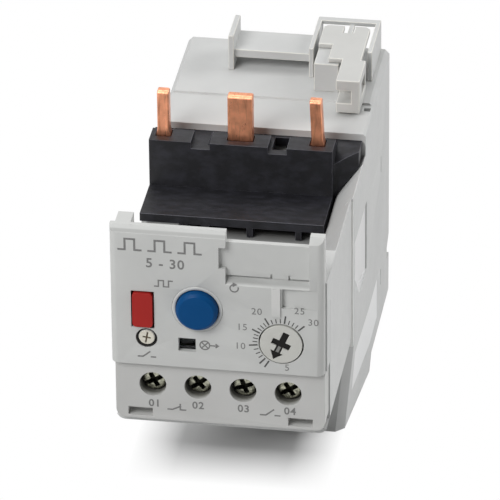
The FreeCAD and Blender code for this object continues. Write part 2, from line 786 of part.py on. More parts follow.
def make_base_housing():
    """Rear casing: a tub that widens from the foot to the rear, open under the pin carrier."""
    body = new_body("base_housing")
    corner = d.control_depth + d.foot_corner
    foot_plan = [
        (-HALF_FOOT, corner), (-HALF_FOOT + d.foot_corner, d.control_depth),
        (HALF_FOOT - d.foot_corner, d.control_depth), (HALF_FOOT, corner), (BODY_RIGHT, TAPER_END),
        (BODY_RIGHT, d.body_depth), (BODY_LEFT, d.body_depth), (BODY_LEFT, TAPER_END),
    ]
    full_plan = [
        (BODY_LEFT, corner), (BODY_LEFT + d.foot_corner, d.control_depth),
        (BODY_RIGHT - d.foot_corner, d.control_depth), (BODY_RIGHT, corner), (BODY_RIGHT, TAPER_END),
        (BODY_RIGHT, d.body_depth), (BODY_LEFT, d.body_depth), (BODY_LEFT, TAPER_END),
    ]
    foot_sketch = new_sketch(body, "foot_plan", "XY", ZERO)
    draw_polygon(foot_sketch, foot_plan)
    full_sketch = new_sketch(body, "full_plan", "XY", d.control_bottom)
    draw_polygon(full_sketch, full_plan)
    foot = body.newObject("PartDesign::AdditiveLoft", "foot_block")
    foot.Profile = foot_sketch
    foot.Sections = [full_sketch]
    foot.Ruled = True
    upper = box_outline(BODY_LEFT, BODY_RIGHT, d.control_depth, d.body_depth)
    extrude(body, "casing_block", "XY", d.control_bottom, REAR_TOP, [upper])
    soften(body, "top_bevels", d.top_bevel, [
        (1, BODY_RIGHT, REAR_TOP), (1, BODY_LEFT, REAR_TOP),
    ], bevel=True)
    far = HALF_CASING + d.over
    rear = d.body_depth + d.over
    roof = REAR_TOP + d.over
    foot_step = [
        (TAPER_END, -d.over), (TAPER_END, ZERO), (TAPER_END + d.rear_lift, d.rear_lift),
        (rear, d.rear_lift), (rear, -d.over),
    ]
    extrude(body, "foot_step", "YZ", -far, far, [foot_step], cut=True)
    step = box_outline(CAP_BACK - d.over, STEP_BACK, STEP_TOP, roof)
    extrude(body, "top_step", "YZ", -far, far, [step], cut=True)
    seat = box_outline(WALL_BACK, CAP_BACK, CAP_UNDER, roof)
    extrude(body, "carrier_seat", "YZ", -far, far, [seat], cut=True)
    valley = [
        (-far, LEDGE_UNDER), (-HALF_CAVITY, LEDGE_UNDER), (-HALF_CAVITY, VALLEY_FLOOR),
        (FIN_ROOT, VALLEY_FLOOR), (FIN_ROOT, FIN_SHOULDER),
        (BODY_RIGHT - d.fin_edge, CONTROL_TOP), (far, CONTROL_TOP), (far, roof), (-far, roof),
    ]
    extrude(body, "valley", "XZ", d.control_depth - d.over, WALL_BACK, [valley], cut=True)
    seat_left = d.carrier_right - d.carrier_wall
    gusset_left = d.carrier_right - d.wing_root - d.frame_clearance
    seat_floor = LEDGE_UNDER - d.frame_clearance
    wing_seat = [
        (gusset_left, seat_floor), (FIN_ROOT, seat_floor), (FIN_ROOT, FIN_SHOULDER),
        (BODY_RIGHT - d.fin_edge, CONTROL_TOP), (far, CONTROL_TOP), (far, roof), (seat_left, roof),
        (seat_left, WING_UNDER), (gusset_left, WING_UNDER),
    ]
    extrude(body, "wing_seat", "XZ", WALL_FRONT, CAP_BACK, [wing_seat], cut=True)
    back = d.body_depth - d.rear_wall
    front = d.control_depth + d.front_wall
    cap_wall = CAP_BACK + d.casing_wall
    inside = [
        (front, CAVITY_FLOOR), (back, CAVITY_FLOOR), (back, REAR_TOP - d.casing_wall),
        (cap_wall, REAR_TOP - d.casing_wall), (cap_wall, SHELF_UNDER), (front, SHELF_UNDER),
    ]
    extrude(body, "main_cavity", "YZ", -HALF_CAVITY, HALF_CAVITY, [inside], cut=True)
    under_cap = [
        (WALL_BACK, SHELF_UNDER - d.casing_wall), (cap_wall, SHELF_UNDER - d.casing_wall),
        (cap_wall, CAP_UNDER - d.casing_wall), (CAP_BACK, CAP_UNDER - d.casing_wall),
        (CAP_BACK, CAP_UNDER + d.over), (WALL_BACK, CAP_UNDER + d.over),
    ]
    extrude(body, "cap_cavity", "YZ", BODY_LEFT + d.cap_side_wall, d.carrier_right - d.cap_side_wall,
            [under_cap], cut=True)
    block(body, "board_window", (-HALF_CAVITY, HALF_CAVITY), (d.control_depth - d.over, front),
          (d.control_bottom + d.casing_wall, SHELF_UNDER), cut=True)
    holes = [((at, d.load_screw_height), d.load_access) for at in LOAD_ACROSS]
    extrude(body, "load_screw_access", "XZ", d.control_depth - d.over, front, circles=holes, cut=True)
    half_entry = d.wire_entry_width / 2
    entry_back = PIN_FRONT - d.pin_clearance
    entries = [box_outline(at - half_entry, at + half_entry, entry_back - d.wire_entry_depth, entry_back)
               for at in LOAD_ACROSS]
    extrude(body, "load_wire_entries", "XY", -d.over, CAVITY_FLOOR, entries, cut=True)
    groove_floor = d.body_depth - d.rear_groove_depth
    groove_top = d.rear_groove_bottom + d.rear_groove_height
    groove = [
        (groove_floor, d.rear_groove_bottom), (rear, d.rear_groove_bottom),
        (rear, groove_top + d.rear_groove_slope), (d.body_depth, groove_top + d.rear_groove_slope),
        (groove_floor, groove_top),
    ]
    extrude(body, "rear_groove", "YZ", -far, far, [groove], cut=True)
    hole_right = d.surface_hole_left + d.surface_hole_size
    block(body, "surface_hole", (d.surface_hole_left, hole_right),
          (d.surface_hole_front, d.surface_hole_front + d.surface_hole_size),
          (STEP_TOP - d.surface_hole_depth, roof), cut=True)
    vent_top = d.vent_bottom + d.vent_height
    vent_back = d.vent_front + d.vent_depth
    ramp_end = d.vent_front + d.vent_reach
    scoop = [
        (d.vent_front, d.vent_bottom), (d.vent_front + d.vent_bevel, d.vent_bottom - d.vent_bevel),
        (ramp_end, d.vent_bottom - d.vent_bevel), (ramp_end, vent_top), (d.vent_front, vent_top),
    ]
    scoop_floor = BODY_RIGHT - d.vent_recess
    extrude(body, "vent_scoop", "YZ", scoop_floor, far, [scoop], cut=True)
    ramp = [(scoop_floor - d.vent_edge, vent_back), (scoop_floor, vent_back),
            (BODY_RIGHT - d.vent_edge, ramp_end), (scoop_floor - d.vent_edge, ramp_end)]
    extrude(body, "vent_ramp", "XY", d.vent_bottom - d.vent_bevel, vent_top, [ramp])
    vent = box_outline(d.vent_front, vent_back, d.vent_bottom, vent_top)
    extrude(body, "vent_slot", "YZ", HALF_CAVITY, far, [vent], cut=True)
    slit_back = d.side_slit_front + d.side_slit_width
    slits = [box_outline(d.side_slit_front, slit_back, low, low + d.side_slit_height)
             for low in (d.side_slit_low, d.side_slit_high)]
    extrude(body, "side_slits", "YZ", BODY_RIGHT - d.side_slit_depth, far, slits, cut=True)
    place(body)


def wing_slope(fall):
    """Outline along and up of what the wing's sloping top lacks, for a fall at its front."""
    return [
        (CAP_BACK, CAP_TOP), (CAP_BACK, LIP_TOP), (WALL_FRONT, LIP_TOP), (WALL_FRONT, CAP_TOP - fall),
    ]


def make_pin_carrier():
    """Black cap over the conductors: ledge, wall with notched lip, pin bosses, ribs and a side wing."""
    body = new_body("pin_carrier")
    left, right = -d.carrier_left, d.carrier_right
    profile = [
        (LEDGE_FRONT, LEDGE_UNDER), (WALL_BACK, LEDGE_UNDER), (WALL_BACK, CAP_UNDER),
        (CAP_BACK, CAP_UNDER), (CAP_BACK, CAP_TOP), (WALL_BACK, CAP_TOP), (WALL_BACK, LIP_TOP),
        (WALL_FRONT, LIP_TOP), (WALL_FRONT, LEDGE_TOP), (LEDGE_FRONT, LEDGE_TOP),
    ]
    extrude(body, "carrier_shell", "YZ", left, right, [profile])
    half_pitch = d.pin_pitch / 2
    notch_left = PIN_ACROSS[1] - half_pitch - d.notch_width / 2
    notch_right = PIN_ACROSS[1] + half_pitch - d.notch_width / 2
    boss_back = WALL_FRONT + d.boss_depth
    spans = [(left, notch_left), (notch_left + d.notch_width, notch_right),
             (notch_right + d.notch_width, right)]
    for number, span in enumerate(spans, 1):
        block(body, f"pin_boss_{number}", span, (WALL_FRONT, boss_back), (CAP_TOP, LIP_TOP))
    wing_tip = right + d.wing_reach
    wing = [
        (right - d.carrier_wall, WALL_BACK), (right, WALL_FRONT + d.wing_front),
        (wing_tip, WALL_FRONT + d.wing_front + d.wing_slant), (wing_tip, CAP_BACK),
        (right - d.carrier_wall, CAP_BACK),
    ]
    extrude(body, "side_wing", "XY", WING_UNDER, CAP_TOP, [wing])
    root = right - d.wing_root
    gusset = [
        (root, WALL_BACK), (right, WALL_FRONT + d.wing_front),
        (wing_tip, WALL_FRONT + d.wing_front + d.wing_slant), (wing_tip, CAP_BACK), (root, CAP_BACK),
    ]
    extrude(body, "wing_gusset", "XY", LEDGE_UNDER, WING_UNDER, [gusset])
    flank = FIN_ROOT - d.frame_clearance
    beyond = wing_tip + d.over
    above_fin = FIN_SHOULDER + d.frame_clearance
    under = [
        (right, LEDGE_UNDER - d.over), (beyond, LEDGE_UNDER - d.over),
        (beyond, above_fin + (beyond - flank) * FIN_RISE), (flank, above_fin), (flank, LEDGE_UNDER),
        (right, LEDGE_UNDER),
    ]
    extrude(body, "wing_under", "XZ", WALL_FRONT - d.over, CAP_BACK + d.over, [under], cut=True)
    root_sketch = new_sketch(body, "wing_slope_root", "YZ", right)
    draw_polygon(root_sketch, wing_slope(d.wing_fall))
    tip_sketch = new_sketch(body, "wing_slope_tip", "YZ", wing_tip)
    draw_polygon(tip_sketch, wing_slope(d.wing_edge))
    fall = body.newObject("PartDesign::SubtractiveLoft", "wing_slope")
    fall.Profile = root_sketch
    fall.Sections = [tip_sketch]
    fall.Ruled = True
    ribs = [d.rib_one, d.rib_two, d.rib_three, d.rib_four, right - d.rib_width]
    outlines = [box_outline(at, at + d.rib_width, LEDGE_FRONT, WALL_FRONT) for at in ribs]
    rib_low = VALLEY_FLOOR + d.seat_clearance
    extrude(body, "ledge_ribs", "XY", rib_low, LEDGE_UNDER, outlines)
    loop_left, loop_right = d.rib_one, d.rib_two + d.rib_width
    loop_back = LEDGE_FRONT + d.loop_depth
    block(body, "rib_loop", (loop_left, loop_right), (LEDGE_FRONT, loop_back), (rib_low, LEDGE_UNDER))
    eye_left, eye_right, eye_low = loop_left + d.loop_wall, loop_right - d.loop_wall, rib_low + d.loop_floor
    eye = [
        (eye_left, LEDGE_UNDER), (eye_left, eye_low + d.loop_corner), (eye_left + d.loop_corner, eye_low),
        (eye_right - d.loop_corner, eye_low), (eye_right, eye_low + d.loop_corner), (eye_right, LEDGE_UNDER),
    ]
    extrude(body, "loop_eye", "XZ", LEDGE_FRONT - d.over, loop_back, [eye], cut=True)
    notches = [box_outline(at, at + d.notch_width, CAP_TOP, LIP_TOP + d.over)
               for at in (notch_left, notch_right)]
    extrude(body, "lip_notches", "XZ", WALL_FRONT - d.over, WALL_BACK + d.over, notches, cut=True)
    window_back = CAP_BACK - d.cap_thickness / 2
    small_right = PIN_ACROSS[1] - d.pin_width / 2 - d.window_margin
    large_left = notch_right + d.window_inset
    windows = [
        box_outline(small_right - d.small_window_width, small_right, WALL_BACK, window_back),
        box_outline(large_left, large_left + d.window_width, WALL_BACK, window_back),
    ]
    extrude(body, "cap_windows", "XY", CAP_UNDER - d.over, CAP_TOP, windows, cut=True)
    slots = []
    for at, width in zip(PIN_ACROSS, (d.side_pin_foot, d.pin_width, d.side_pin_foot)):
        half = width / 2 + d.pin_clearance
        slots.append(box_outline(at - half, at + half, PIN_FRONT - d.pin_clearance,
                                 PIN_BACK + d.pin_clearance))
    extrude(body, "pin_slots", "XY", CAP_UNDER - d.over, LIP_TOP, slots, cut=True)
    reliefs = []
    for at, load_at, width in zip(PIN_ACROSS, LOAD_ACROSS, (d.side_pin_foot, d.pin_width, d.side_pin_foot)):
        near, far = (at, at + width / 2 + d.jog_relief)
        if load_at.value < at.value:
            near, far = (at - width / 2 - d.jog_relief, at)
        reliefs.append(box_outline(near, far, PIN_FRONT - d.pin_clearance, PIN_BACK + d.pin_clearance))
    extrude(body, "jog_reliefs", "XY", CAP_UNDER - d.over, CAP_TOP, reliefs, cut=True)
    place(body)


def make_conductor(label, pin_at, load_at, width, foot_width, lean):
    """Copper bar: contact pin on top, a jog to the load pitch, and the clamp end at the bottom."""
    body = new_body(label)
    half, half_foot, half_bar = width / 2, foot_width / 2, d.bar_width / 2
    foot_top = LIP_TOP + d.foot_rise
    outline = [
        (load_at - half_bar, d.bar_bottom), (load_at + half_bar, d.bar_bottom),
        (load_at + half_bar, d.jog_bottom), (pin_at + half_foot, CAP_TOP),
        (pin_at + half_foot, LIP_TOP), (pin_at + half, foot_top),
        (pin_at + half - lean, d.pin_top), (pin_at - half - lean, d.pin_top),
        (pin_at - half, foot_top), (pin_at - half_foot, LIP_TOP),
        (pin_at - half_foot, CAP_TOP), (load_at - half_bar, d.jog_bottom),
    ]
    extrude(body, f"{label}_bar", "XZ", PIN_FRONT, PIN_BACK, [outline])
    soften(body, f"{label}_bevel", d.pin_bevel, [
        (0, PIN_FRONT, d.pin_top), (0, PIN_BACK, d.pin_top),
    ], bevel=True)
    place(body)


def make_transformer_core(label):
    """Rectangular ring core that a conductor passes through."""
    body = new_body(label)
    half = d.core_width / 2
    hole = d.bar_width / 2 + d.core_clearance
    front = BAR_MIDDLE - d.core_depth / 2
    outer = box_outline(-half, half, front, front + d.core_depth)
    inner = box_outline(-hole, hole, PIN_FRONT - d.core_clearance, PIN_BACK + d.core_clearance)
    extrude(body, f"{label}_ring", "XY", d.core_bottom, d.core_bottom + d.core_height, [outer, inner])
    return body


def make_transformer_winding(label):
    """Copper winding around the rear limb of a core."""
    body = new_body(label)
    limb_front = PIN_BACK + d.core_clearance
    limb_back = BAR_MIDDLE + d.core_depth / 2
    play = d.winding_clearance
    inner = box_outline(limb_front - play, limb_back + play, d.core_bottom - play,
                        d.core_bottom + d.core_height + play)
    grow = play + d.winding_wall
    front_grow = play + d.core_clearance / 2
    outer = box_outline(limb_front - front_grow, limb_back + grow, d.core_bottom - grow,
                        d.core_bottom + d.core_height + grow)
    half = (d.bar_width + d.core_clearance) / 2
    extrude(body, f"{label}_turns", "YZ", -half, half, [outer, inner])
    return body


def make_load_clamp(label):
    """Steel cage round the lower end of a conductor, threaded for the clamping screw."""
    body = new_body(label)
    half = d.load_clamp_width / 2
    front = d.control_depth + d.front_wall + d.load_screw_head_height + d.seat_clearance
    wall = d.load_clamp_wall
    bottom = CAVITY_FLOOR + d.seat_clearance
    outer = box_outline(-half, half, front, front + d.load_clamp_depth)
    inner = box_outline(-half + wall, half - wall, front + wall, front + d.load_clamp_depth - wall)
    extrude(body, f"{label}_cage", "XY", bottom, bottom + d.load_clamp_height, [outer, inner])
    hole = [((ZERO, d.load_screw_height), d.load_screw_shank + d.thread_clearance * 2)]
    extrude(body, f"{label}_thread", "XZ", front - d.over, front + wall, circles=hole, cut=True)
    return body


def make_load_screw(label):
    """Clamping screw of a load terminal, its head behind the access hole."""
    head_front = d.control_depth + d.front_wall + d.seat_clearance / 2
    return make_screw(label, head_front, d.load_screw_head, d.load_screw_head_height,
                      d.load_screw_shank, d.load_screw_length, d.load_screw_height)


def make_screw(label, head_front, head, head_height, shank, length, height):
    """Pan-headed screw along Y."""
    under = head_front + head_height
    body = turned(label, [
        (ZERO, head_front), (head / 2, head_front), (head / 2, under), (shank / 2, under),
        (shank / 2, under + length), (ZERO, under + length),
    ])
    body.setExpression("Placement.Base.z", height.text)
    return body


def make_control_clamp(label):
    """Small cage clamp of a control terminal, open below for the wire."""
    body = new_body(label)
    half = d.control_clamp_width / 2
    wall = d.control_clamp_wall
    front = d.strip_setback + d.control_face_wall + d.control_screw_head_height + d.seat_clearance
    back = front + d.control_clamp_depth
    top = SCREW_HEIGHT + d.control_clamp_height / 2
    bottom = top - d.control_clamp_height
    block(body, f"{label}_cage", (-half, half), (front, back), (bottom, top))
    block(body, f"{label}_mouth", (-half + wall, half - wall), (front + wall, back - wall),
          (bottom - d.over, top - wall), cut=True)
    hole = [((ZERO, SCREW_HEIGHT), d.control_screw_shank + d.thread_clearance * 2)]
    extrude(body, f"{label}_thread", "XZ", front - d.over, front + wall, circles=hole, cut=True)
    return body


def make_control_screw(label):
    """Control terminal screw, sunk in the strip."""
    head_front = d.strip_setback + d.control_screw_sunk - d.seat_clearance
    return make_screw(label, head_front, d.control_screw_head, d.control_screw_head_height,
                      d.control_screw_shank, d.control_screw_length, SCREW_HEIGHT)


def make_fixed_contact(label):
    """Angled contact strip from a control clamp to the moving bridges."""
    body = new_body(label)
    half = d.contact_width / 2
    top = SCREW_HEIGHT + d.control_clamp_height / 2
    rear = d.slider_front - d.bridge_thickness - d.contact_gap
    front = STRIP_BACK - d.contact_width
    profile = [
        (front, top), (rear - d.contact_thickness, top), (rear - d.contact_thickness, d.slider_bottom),
        (rear, d.slider_bottom), (rear, top + d.contact_thickness), (front, top + d.contact_thickness),
    ]
    extrude(body, f"{label}_strip", "YZ", -half, half, [profile])
    return body


def stem_end():
    """Station where the button stems end: inside the guide holes of the inner frame."""
    return d.frame_front + d.frame_thickness - d.frame_clearance


def make_reset_button():
    """Round push button with ears behind the cover and a guided stem."""
    radius, stem = d.reset_diameter / 2, d.reset_stem / 2
    ear = radius + d.button_flange
    body = turned("reset_button", [
        (ZERO, -d.reset_proud), (radius - d.button_bevel, -d.reset_proud),
        (radius, -d.reset_proud + d.button_bevel), (radius, FLANGE_BACK), (stem, FLANGE_BACK),
        (stem, stem_end()), (ZERO, stem_end()),
    ])
    block(body, "reset_ears", (-ear, ear), (FLANGE_FRONT, FLANGE_BACK), (-stem, stem))
    place(body, d.reset_across, RESET_HEIGHT)


def make_test_button():
    """Upright rectangular push button with side flanges and a guided stem."""
    body = new_body("test_button")
    half, half_tall = d.test_width / 2, d.test_tall / 2
    block(body, "test_cap", (-half, half), (-d.test_proud, FLANGE_BACK), (-half_tall, half_tall))
    soften(body, "test_corners", d.test_radius, [
        (1, half, half_tall), (1, half, -half_tall), (1, -half, half_tall), (1, -half, -half_tall),
    ])
    reach = half + d.button_flange
    rest = half_tall - d.test_radius
    block(body, "test_flange", (-reach, reach), (FLANGE_FRONT, FLANGE_BACK), (-rest, rest))
    extrude(body, "test_stem", "XZ", FLANGE_BACK, stem_end(), circles=[((ZERO, ZERO), d.test_stem)])
    place(body, d.test_across, TEST_HEIGHT)


def make_trip_plunger():
    """Small round plunger for tripping by screwdriver, with a collar for its spring."""
    radius, stem, collar = d.trip_diameter / 2, d.trip_stem / 2, d.trip_collar / 2
    front = d.trip_sunk
    collar_back = front + d.trip_length
    collar_front = collar_back - d.flange_thickness
    body = turned("trip_plunger", [
        (ZERO, front), (radius, front), (radius, collar_front), (collar, collar_front),
        (collar, collar_back), (stem, collar_back), (stem, stem_end()), (ZERO, stem_end()),
    ])
    place(body, d.trip_across, TRIP_HEIGHT)


def make_spring(label, front, inner, wire, across, height):
    """Compression spring round a stem, from its flange to the inner frame."""
    radius = (inner / 2 + d.spring_clearance + wire / 2).value
    start = (front + wire / 2).value
    length = (d.frame_front - front - wire).value
    turns = d.spring_turns.value
    along = Vector(0, 1, 0)
    count = round(turns * SPRING_STEPS)
    sections = []
    for step in range(count + 1):
        turn = FreeCAD.Rotation(along, FULL_TURN * turns * step / count)
        corners = []
        for side in range(SPRING_SIDES + 1):
            spoke = FreeCAD.Rotation(Vector(0, 0, 1), FULL_TURN * side / SPRING_SIDES)
            corners.append(Vector(radius, 0, 0) + spoke.multVec(Vector(wire.value / 2, 0, 0)))
        rise = along * (start + length * step / count)
        sections.append(Part.makePolygon([turn.multVec(corner) + rise for corner in corners]))
    spring = doc.addObject("Part::Feature", label)
    spring.Label = label
    spring.Shape = Part.makeLoft(sections, True, True)
    place(spring, across, height)


def pointer_outline():
    """Corners of the dial's cross whose lower limb ends in an arrow head."""
    half, across = d.pointer_width / 2, d.pointer_across / 2
    head, neck = d.pointer_head / 2, -d.pointer_neck
    return [
        (-half, d.pointer_up), (-half, half), (-across, half), (-across, -half), (-half, -half),
        (-half, neck), (-head, neck), (ZERO, -d.pointer_tip), (head, neck), (half, neck),
        (half, -half), (across, -half), (across, half), (half, half), (half, d.pointer_up),
    ]


def place_on_dial(body):
    """Place a piece of the dial at its rest setting."""
    turn = FreeCAD.Rotation(Vector(0, 1, 0), d.dial_rest_angle.value)
    body.Placement = FreeCAD.Placement(Vector(), turn)
    body.setExpression("Placement.Rotation.Angle", d.dial_rest_angle.text)
    place(body, d.dial_across, DIAL_HEIGHT)


def make_setting_dial():
    """Setting dial with a retaining flange, a shaft and a recess for the black pointer."""
    radius, shaft = d.dial_diameter / 2, d.dial_shaft / 2
    flange = radius + d.button_flange
    shaft_end = d.frame_front - d.pot_depth + d.pot_bite
    body = turned("setting_dial", [
        (ZERO, -d.dial_proud), (radius, -d.dial_proud), (radius, FLANGE_FRONT), (flange, FLANGE_FRONT),
        (flange, FLANGE_BACK), (shaft, FLANGE_BACK), (shaft, shaft_end), (ZERO, shaft_end),
    ])
    extrude(body, "pointer_recess", "XZ", -d.dial_proud - d.over, -d.dial_proud + d.pointer_depth,
            [pointer_outline()], cut=True)
    place_on_dial(body)


def make_dial_pointer():
    """Black cross and arrow set into the dial."""
    body = new_body("dial_pointer")
    back = -d.dial_proud + d.pointer_depth
    extrude(body, "pointer_plate", "XZ", -d.dial_proud + d.pointer_sunk, back, [pointer_outline()])
    place_on_dial(body)


def make_potentiometer():
    """Setting potentiometer on the inner frame, turned by the dial's shaft."""
    body = new_body("potentiometer")
    half, half_tall = d.pot_width / 2, d.pot_tall / 2
    front = d.frame_front - d.pot_depth
    block(body, "pot_case", (-half, half), (front, d.frame_front), (-half_tall, half_tall))
    bore = [((ZERO, ZERO), d.dial_shaft + d.shaft_clearance * 2)]
    bore_end = front + d.pot_bite + d.seat_clearance
    extrude(body, "pot_bore", "XZ", front - d.over, bore_end, circles=bore, cut=True)
    place(body, d.dial_across, DIAL_HEIGHT)


def make_status_window():
    """Clear lens in the cover, flanged behind it."""
    body = new_body("status_window")
    half, half_tall = d.lens_width / 2, d.lens_tall / 2
    block(body, "lens", (-half, half), (d.lens_sunk, COVER_BACK), (-half_tall, half_tall))
    grow = d.lens_flange
    block(body, "lens_flange", (-half - grow, half + grow),
          (COVER_BACK, COVER_BACK + d.lens_flange_thickness), (-half_tall - grow, half_tall + grow))
    place(body, d.window_across, WINDOW_HEIGHT)


def flag_front():
    """Station of the flag's face, behind the lens."""
    return COVER_BACK + d.lens_flange_thickness + d.flag_gap


def make_trip_flag():
    """Flag that shows behind the status window once the relay has tripped, on its arm."""
    body = new_body("trip_flag")
    right = d.window_across + d.lens_width / 2 + d.flag_gap
    half_tall = d.flag_tall / 2
    front = flag_front()
    back = front + d.flag_thickness
    block(body, "flag_plate", (right - d.flag_width, right), (front, back),
          (WINDOW_HEIGHT - half_tall, WINDOW_HEIGHT + half_tall))
    block(body, "flag_arm", (d.arm_left, d.arm_left + d.arm_thickness), (back, d.slider_front),
          (WINDOW_HEIGHT - d.arm_height / 2, WINDOW_HEIGHT + d.arm_height / 2))
    place(body)


def make_inner_frame():
    """Moulded plate across the control block that guides the stems and carries the potentiometer."""
    body = new_body("inner_frame")
    half = HALF_CONTROL_CAVITY - d.frame_clearance
    back = d.frame_front + d.frame_thickness
    top = NOSE_ROOF - d.frame_clearance
    block(body, "frame_plate", (-half, half), (d.frame_front, back), (FRAME_BOTTOM, top))
    play = d.frame_clearance * 2
    guides = [
        ((d.reset_across, RESET_HEIGHT), d.reset_stem + play),
        ((d.test_across, TEST_HEIGHT), d.test_stem + play),
        ((d.trip_across, TRIP_HEIGHT), d.trip_stem + play),
    ]
    extrude(body, "stem_guides", "XZ", d.frame_front - d.over, back, circles=guides, cut=True)
    reach = d.arm_thickness + d.slider_travel + d.flag_gap
    half_arm = d.arm_height / 2 + d.flag_gap
    block(body, "arm_slot", (d.arm_left - d.flag_gap, d.arm_left + reach), (d.frame_front - d.over, back),
          (WINDOW_HEIGHT - half_arm, WINDOW_HEIGHT + half_arm), cut=True)
    place(body)


def make_circuit_board():
    """Electronics board across the rear of the control block."""
    body = new_body("circuit_board")
    half = HALF_CONTROL_CAVITY - d.frame_clearance
    block(body, "board", (-half, half), (d.board_front, d.board_front + d.board_thickness),
          (CONTROL_FLOOR + d.frame_clearance, SHELF_UNDER - d.frame_clearance))
    place(body)


def coil_axis():
    """Station of the trip coil's axis."""
    return d.slider_front + d.slider_depth / 2


def make_trip_slider():
    """Slide that carries the contact bridges and the upright for the flag and the magnet plunger."""
    body = new_body("trip_slider")
    back = d.slider_front + d.slider_depth
    block(body, "slider_bar", (d.slider_left, d.slider_left + d.slider_length), (d.slider_front, back),
          (d.slider_bottom, d.slider_bottom + d.slider_bar_height))
    upright_right = d.upright_left + d.upright_width
    block(body, "slider_upright", (d.upright_left, upright_right), (d.slider_front, back),
          (d.slider_bottom, COIL_HEIGHT + d.plunger_diameter / 2))
    place(body)


def make_contact_bridges():
    """Closed and open contact bridges on the face of the slider."""
    rear = d.slider_front
    front = rear - d.bridge_thickness
    low = d.slider_bottom + d.contact_gap
    high = low + d.bridge_height
    half = d.contact_width / 2
    spans = [
        (CONTROL_ACROSS[0] - half, CONTROL_ACROSS[1] + half),
        (CONTROL_ACROSS[2] - half - d.contact_gap, CONTROL_ACROSS[2] - half + d.open_bridge_reach),
    ]
    members = []
    for number, span in enumerate(spans, 1):
        member = new_body(f"contact_bridge_{number}")
        block(member, f"bridge_{number}", span, (front, rear), (low, high))
        members.append(member)
    grouped("contact_bridges", members)


def make_trip_coil():
    """Trip coil on its bobbin."""
    body = new_body("trip_coil")
    bore = d.plunger_diameter + d.plunger_clearance * 2
    rings = [((coil_axis(), COIL_HEIGHT), d.coil_diameter), ((coil_axis(), COIL_HEIGHT), bore)]
    extrude(body, "coil_winding", "YZ", d.coil_left, d.coil_left + d.coil_length, circles=rings)
    place(body)


def make_magnet_plunger():
    """Steel rod of the bistable magnet, fixed to the slider's upright."""
    body = new_body("magnet_plunger")
    left = d.upright_left + d.upright_width
    rod = [((coil_axis(), COIL_HEIGHT), d.plunger_diameter)]
    extrude(body, "plunger_rod", "YZ", left, left + d.plunger_length, circles=rod)
    place(body)


def make_coil_yoke():
    """Steel yoke that holds the coil against the board."""
    body = new_body("coil_yoke")
    margin = d.yoke_margin
    left = d.coil_left - d.frame_clearance / 2
    right = d.coil_left + d.coil_length + d.frame_clearance / 2
    front = coil_axis() - d.coil_diameter / 2 + margin
    low = COIL_HEIGHT - d.coil_diameter / 2 - margin
    high = COIL_HEIGHT + d.coil_diameter / 2 + margin
    thick = d.yoke_thickness
    plan = [
        (left - thick, front), (left, front), (left, d.board_front - thick),
        (right, d.board_front - thick), (right, front), (right + thick, front),
        (right + thick, d.board_front), (left - thick, d.board_front),
    ]
    extrude(body, "yoke_frame", "XY", low, high, [plan])
    bore = [((coil_axis(), COIL_HEIGHT), d.plunger_diameter + d.plunger_clearance * 2)]
    extrude(body, "yoke_bore", "YZ", left - thick - d.over, left, circles=bore, cut=True)
    place(body)


def make_mounting_bracket():
    """Hook shelf and latch cage on the rear top, which enter the contactor's base."""
    body = new_body("mounting_bracket")
    rear = d.body_depth
    ear_back = rear - d.bracket_setback
    ear_right = d.ear_left + d.ear_thickness
    cage_right = d.cage_left + d.cage_width
    cage_front = rear - d.cage_depth
    cage_top = REAR_TOP + d.cage_height
    rail_front = rear - d.rail_depth
    shelf_low = REAR_TOP + d.shelf_gap
    block(body, "hook_ear", (d.ear_left, ear_right), (ear_back - d.ear_depth, ear_back),
          (REAR_TOP, REAR_TOP + d.ear_height))
    block(body, "hook_shelf", (ear_right, d.cage_left), (ear_back - d.shelf_depth, ear_back),
          (shelf_low, shelf_low + d.shelf_thickness))
    block(body, "cage_left_wall", (d.cage_left, d.cage_left + d.cage_wall), (cage_front, rear),
          (REAR_TOP, cage_top))
    block(body, "cage_rail", (d.cage_left, cage_right), (rail_front, rear),
          (cage_top - d.rail_thickness, cage_top))
    block(body, "cage_right_wall", (cage_right - d.cage_wall, cage_right), (cage_front, rear),
          (REAR_TOP, cage_top))
    tongue_left = d.latch_notch_left + (d.latch_notch_width - d.tongue_width) / 2
    tongue_top = cage_top - d.tongue_drop
    tongue_reach = d.latch_setback + d.latch_notch_depth
    block(body, "cage_tongue", (tongue_left, tongue_left + d.tongue_width),
          (rear - tongue_reach, rail_front), (tongue_top - d.tongue_thickness, tongue_top))
    block_front = rear - d.block_setback - d.block_depth
    block(body, "latch_block", (d.block_left, d.block_left + d.block_width),
          (block_front, block_front + d.block_depth), (REAR_TOP, REAR_TOP + d.block_height))
    place(body)


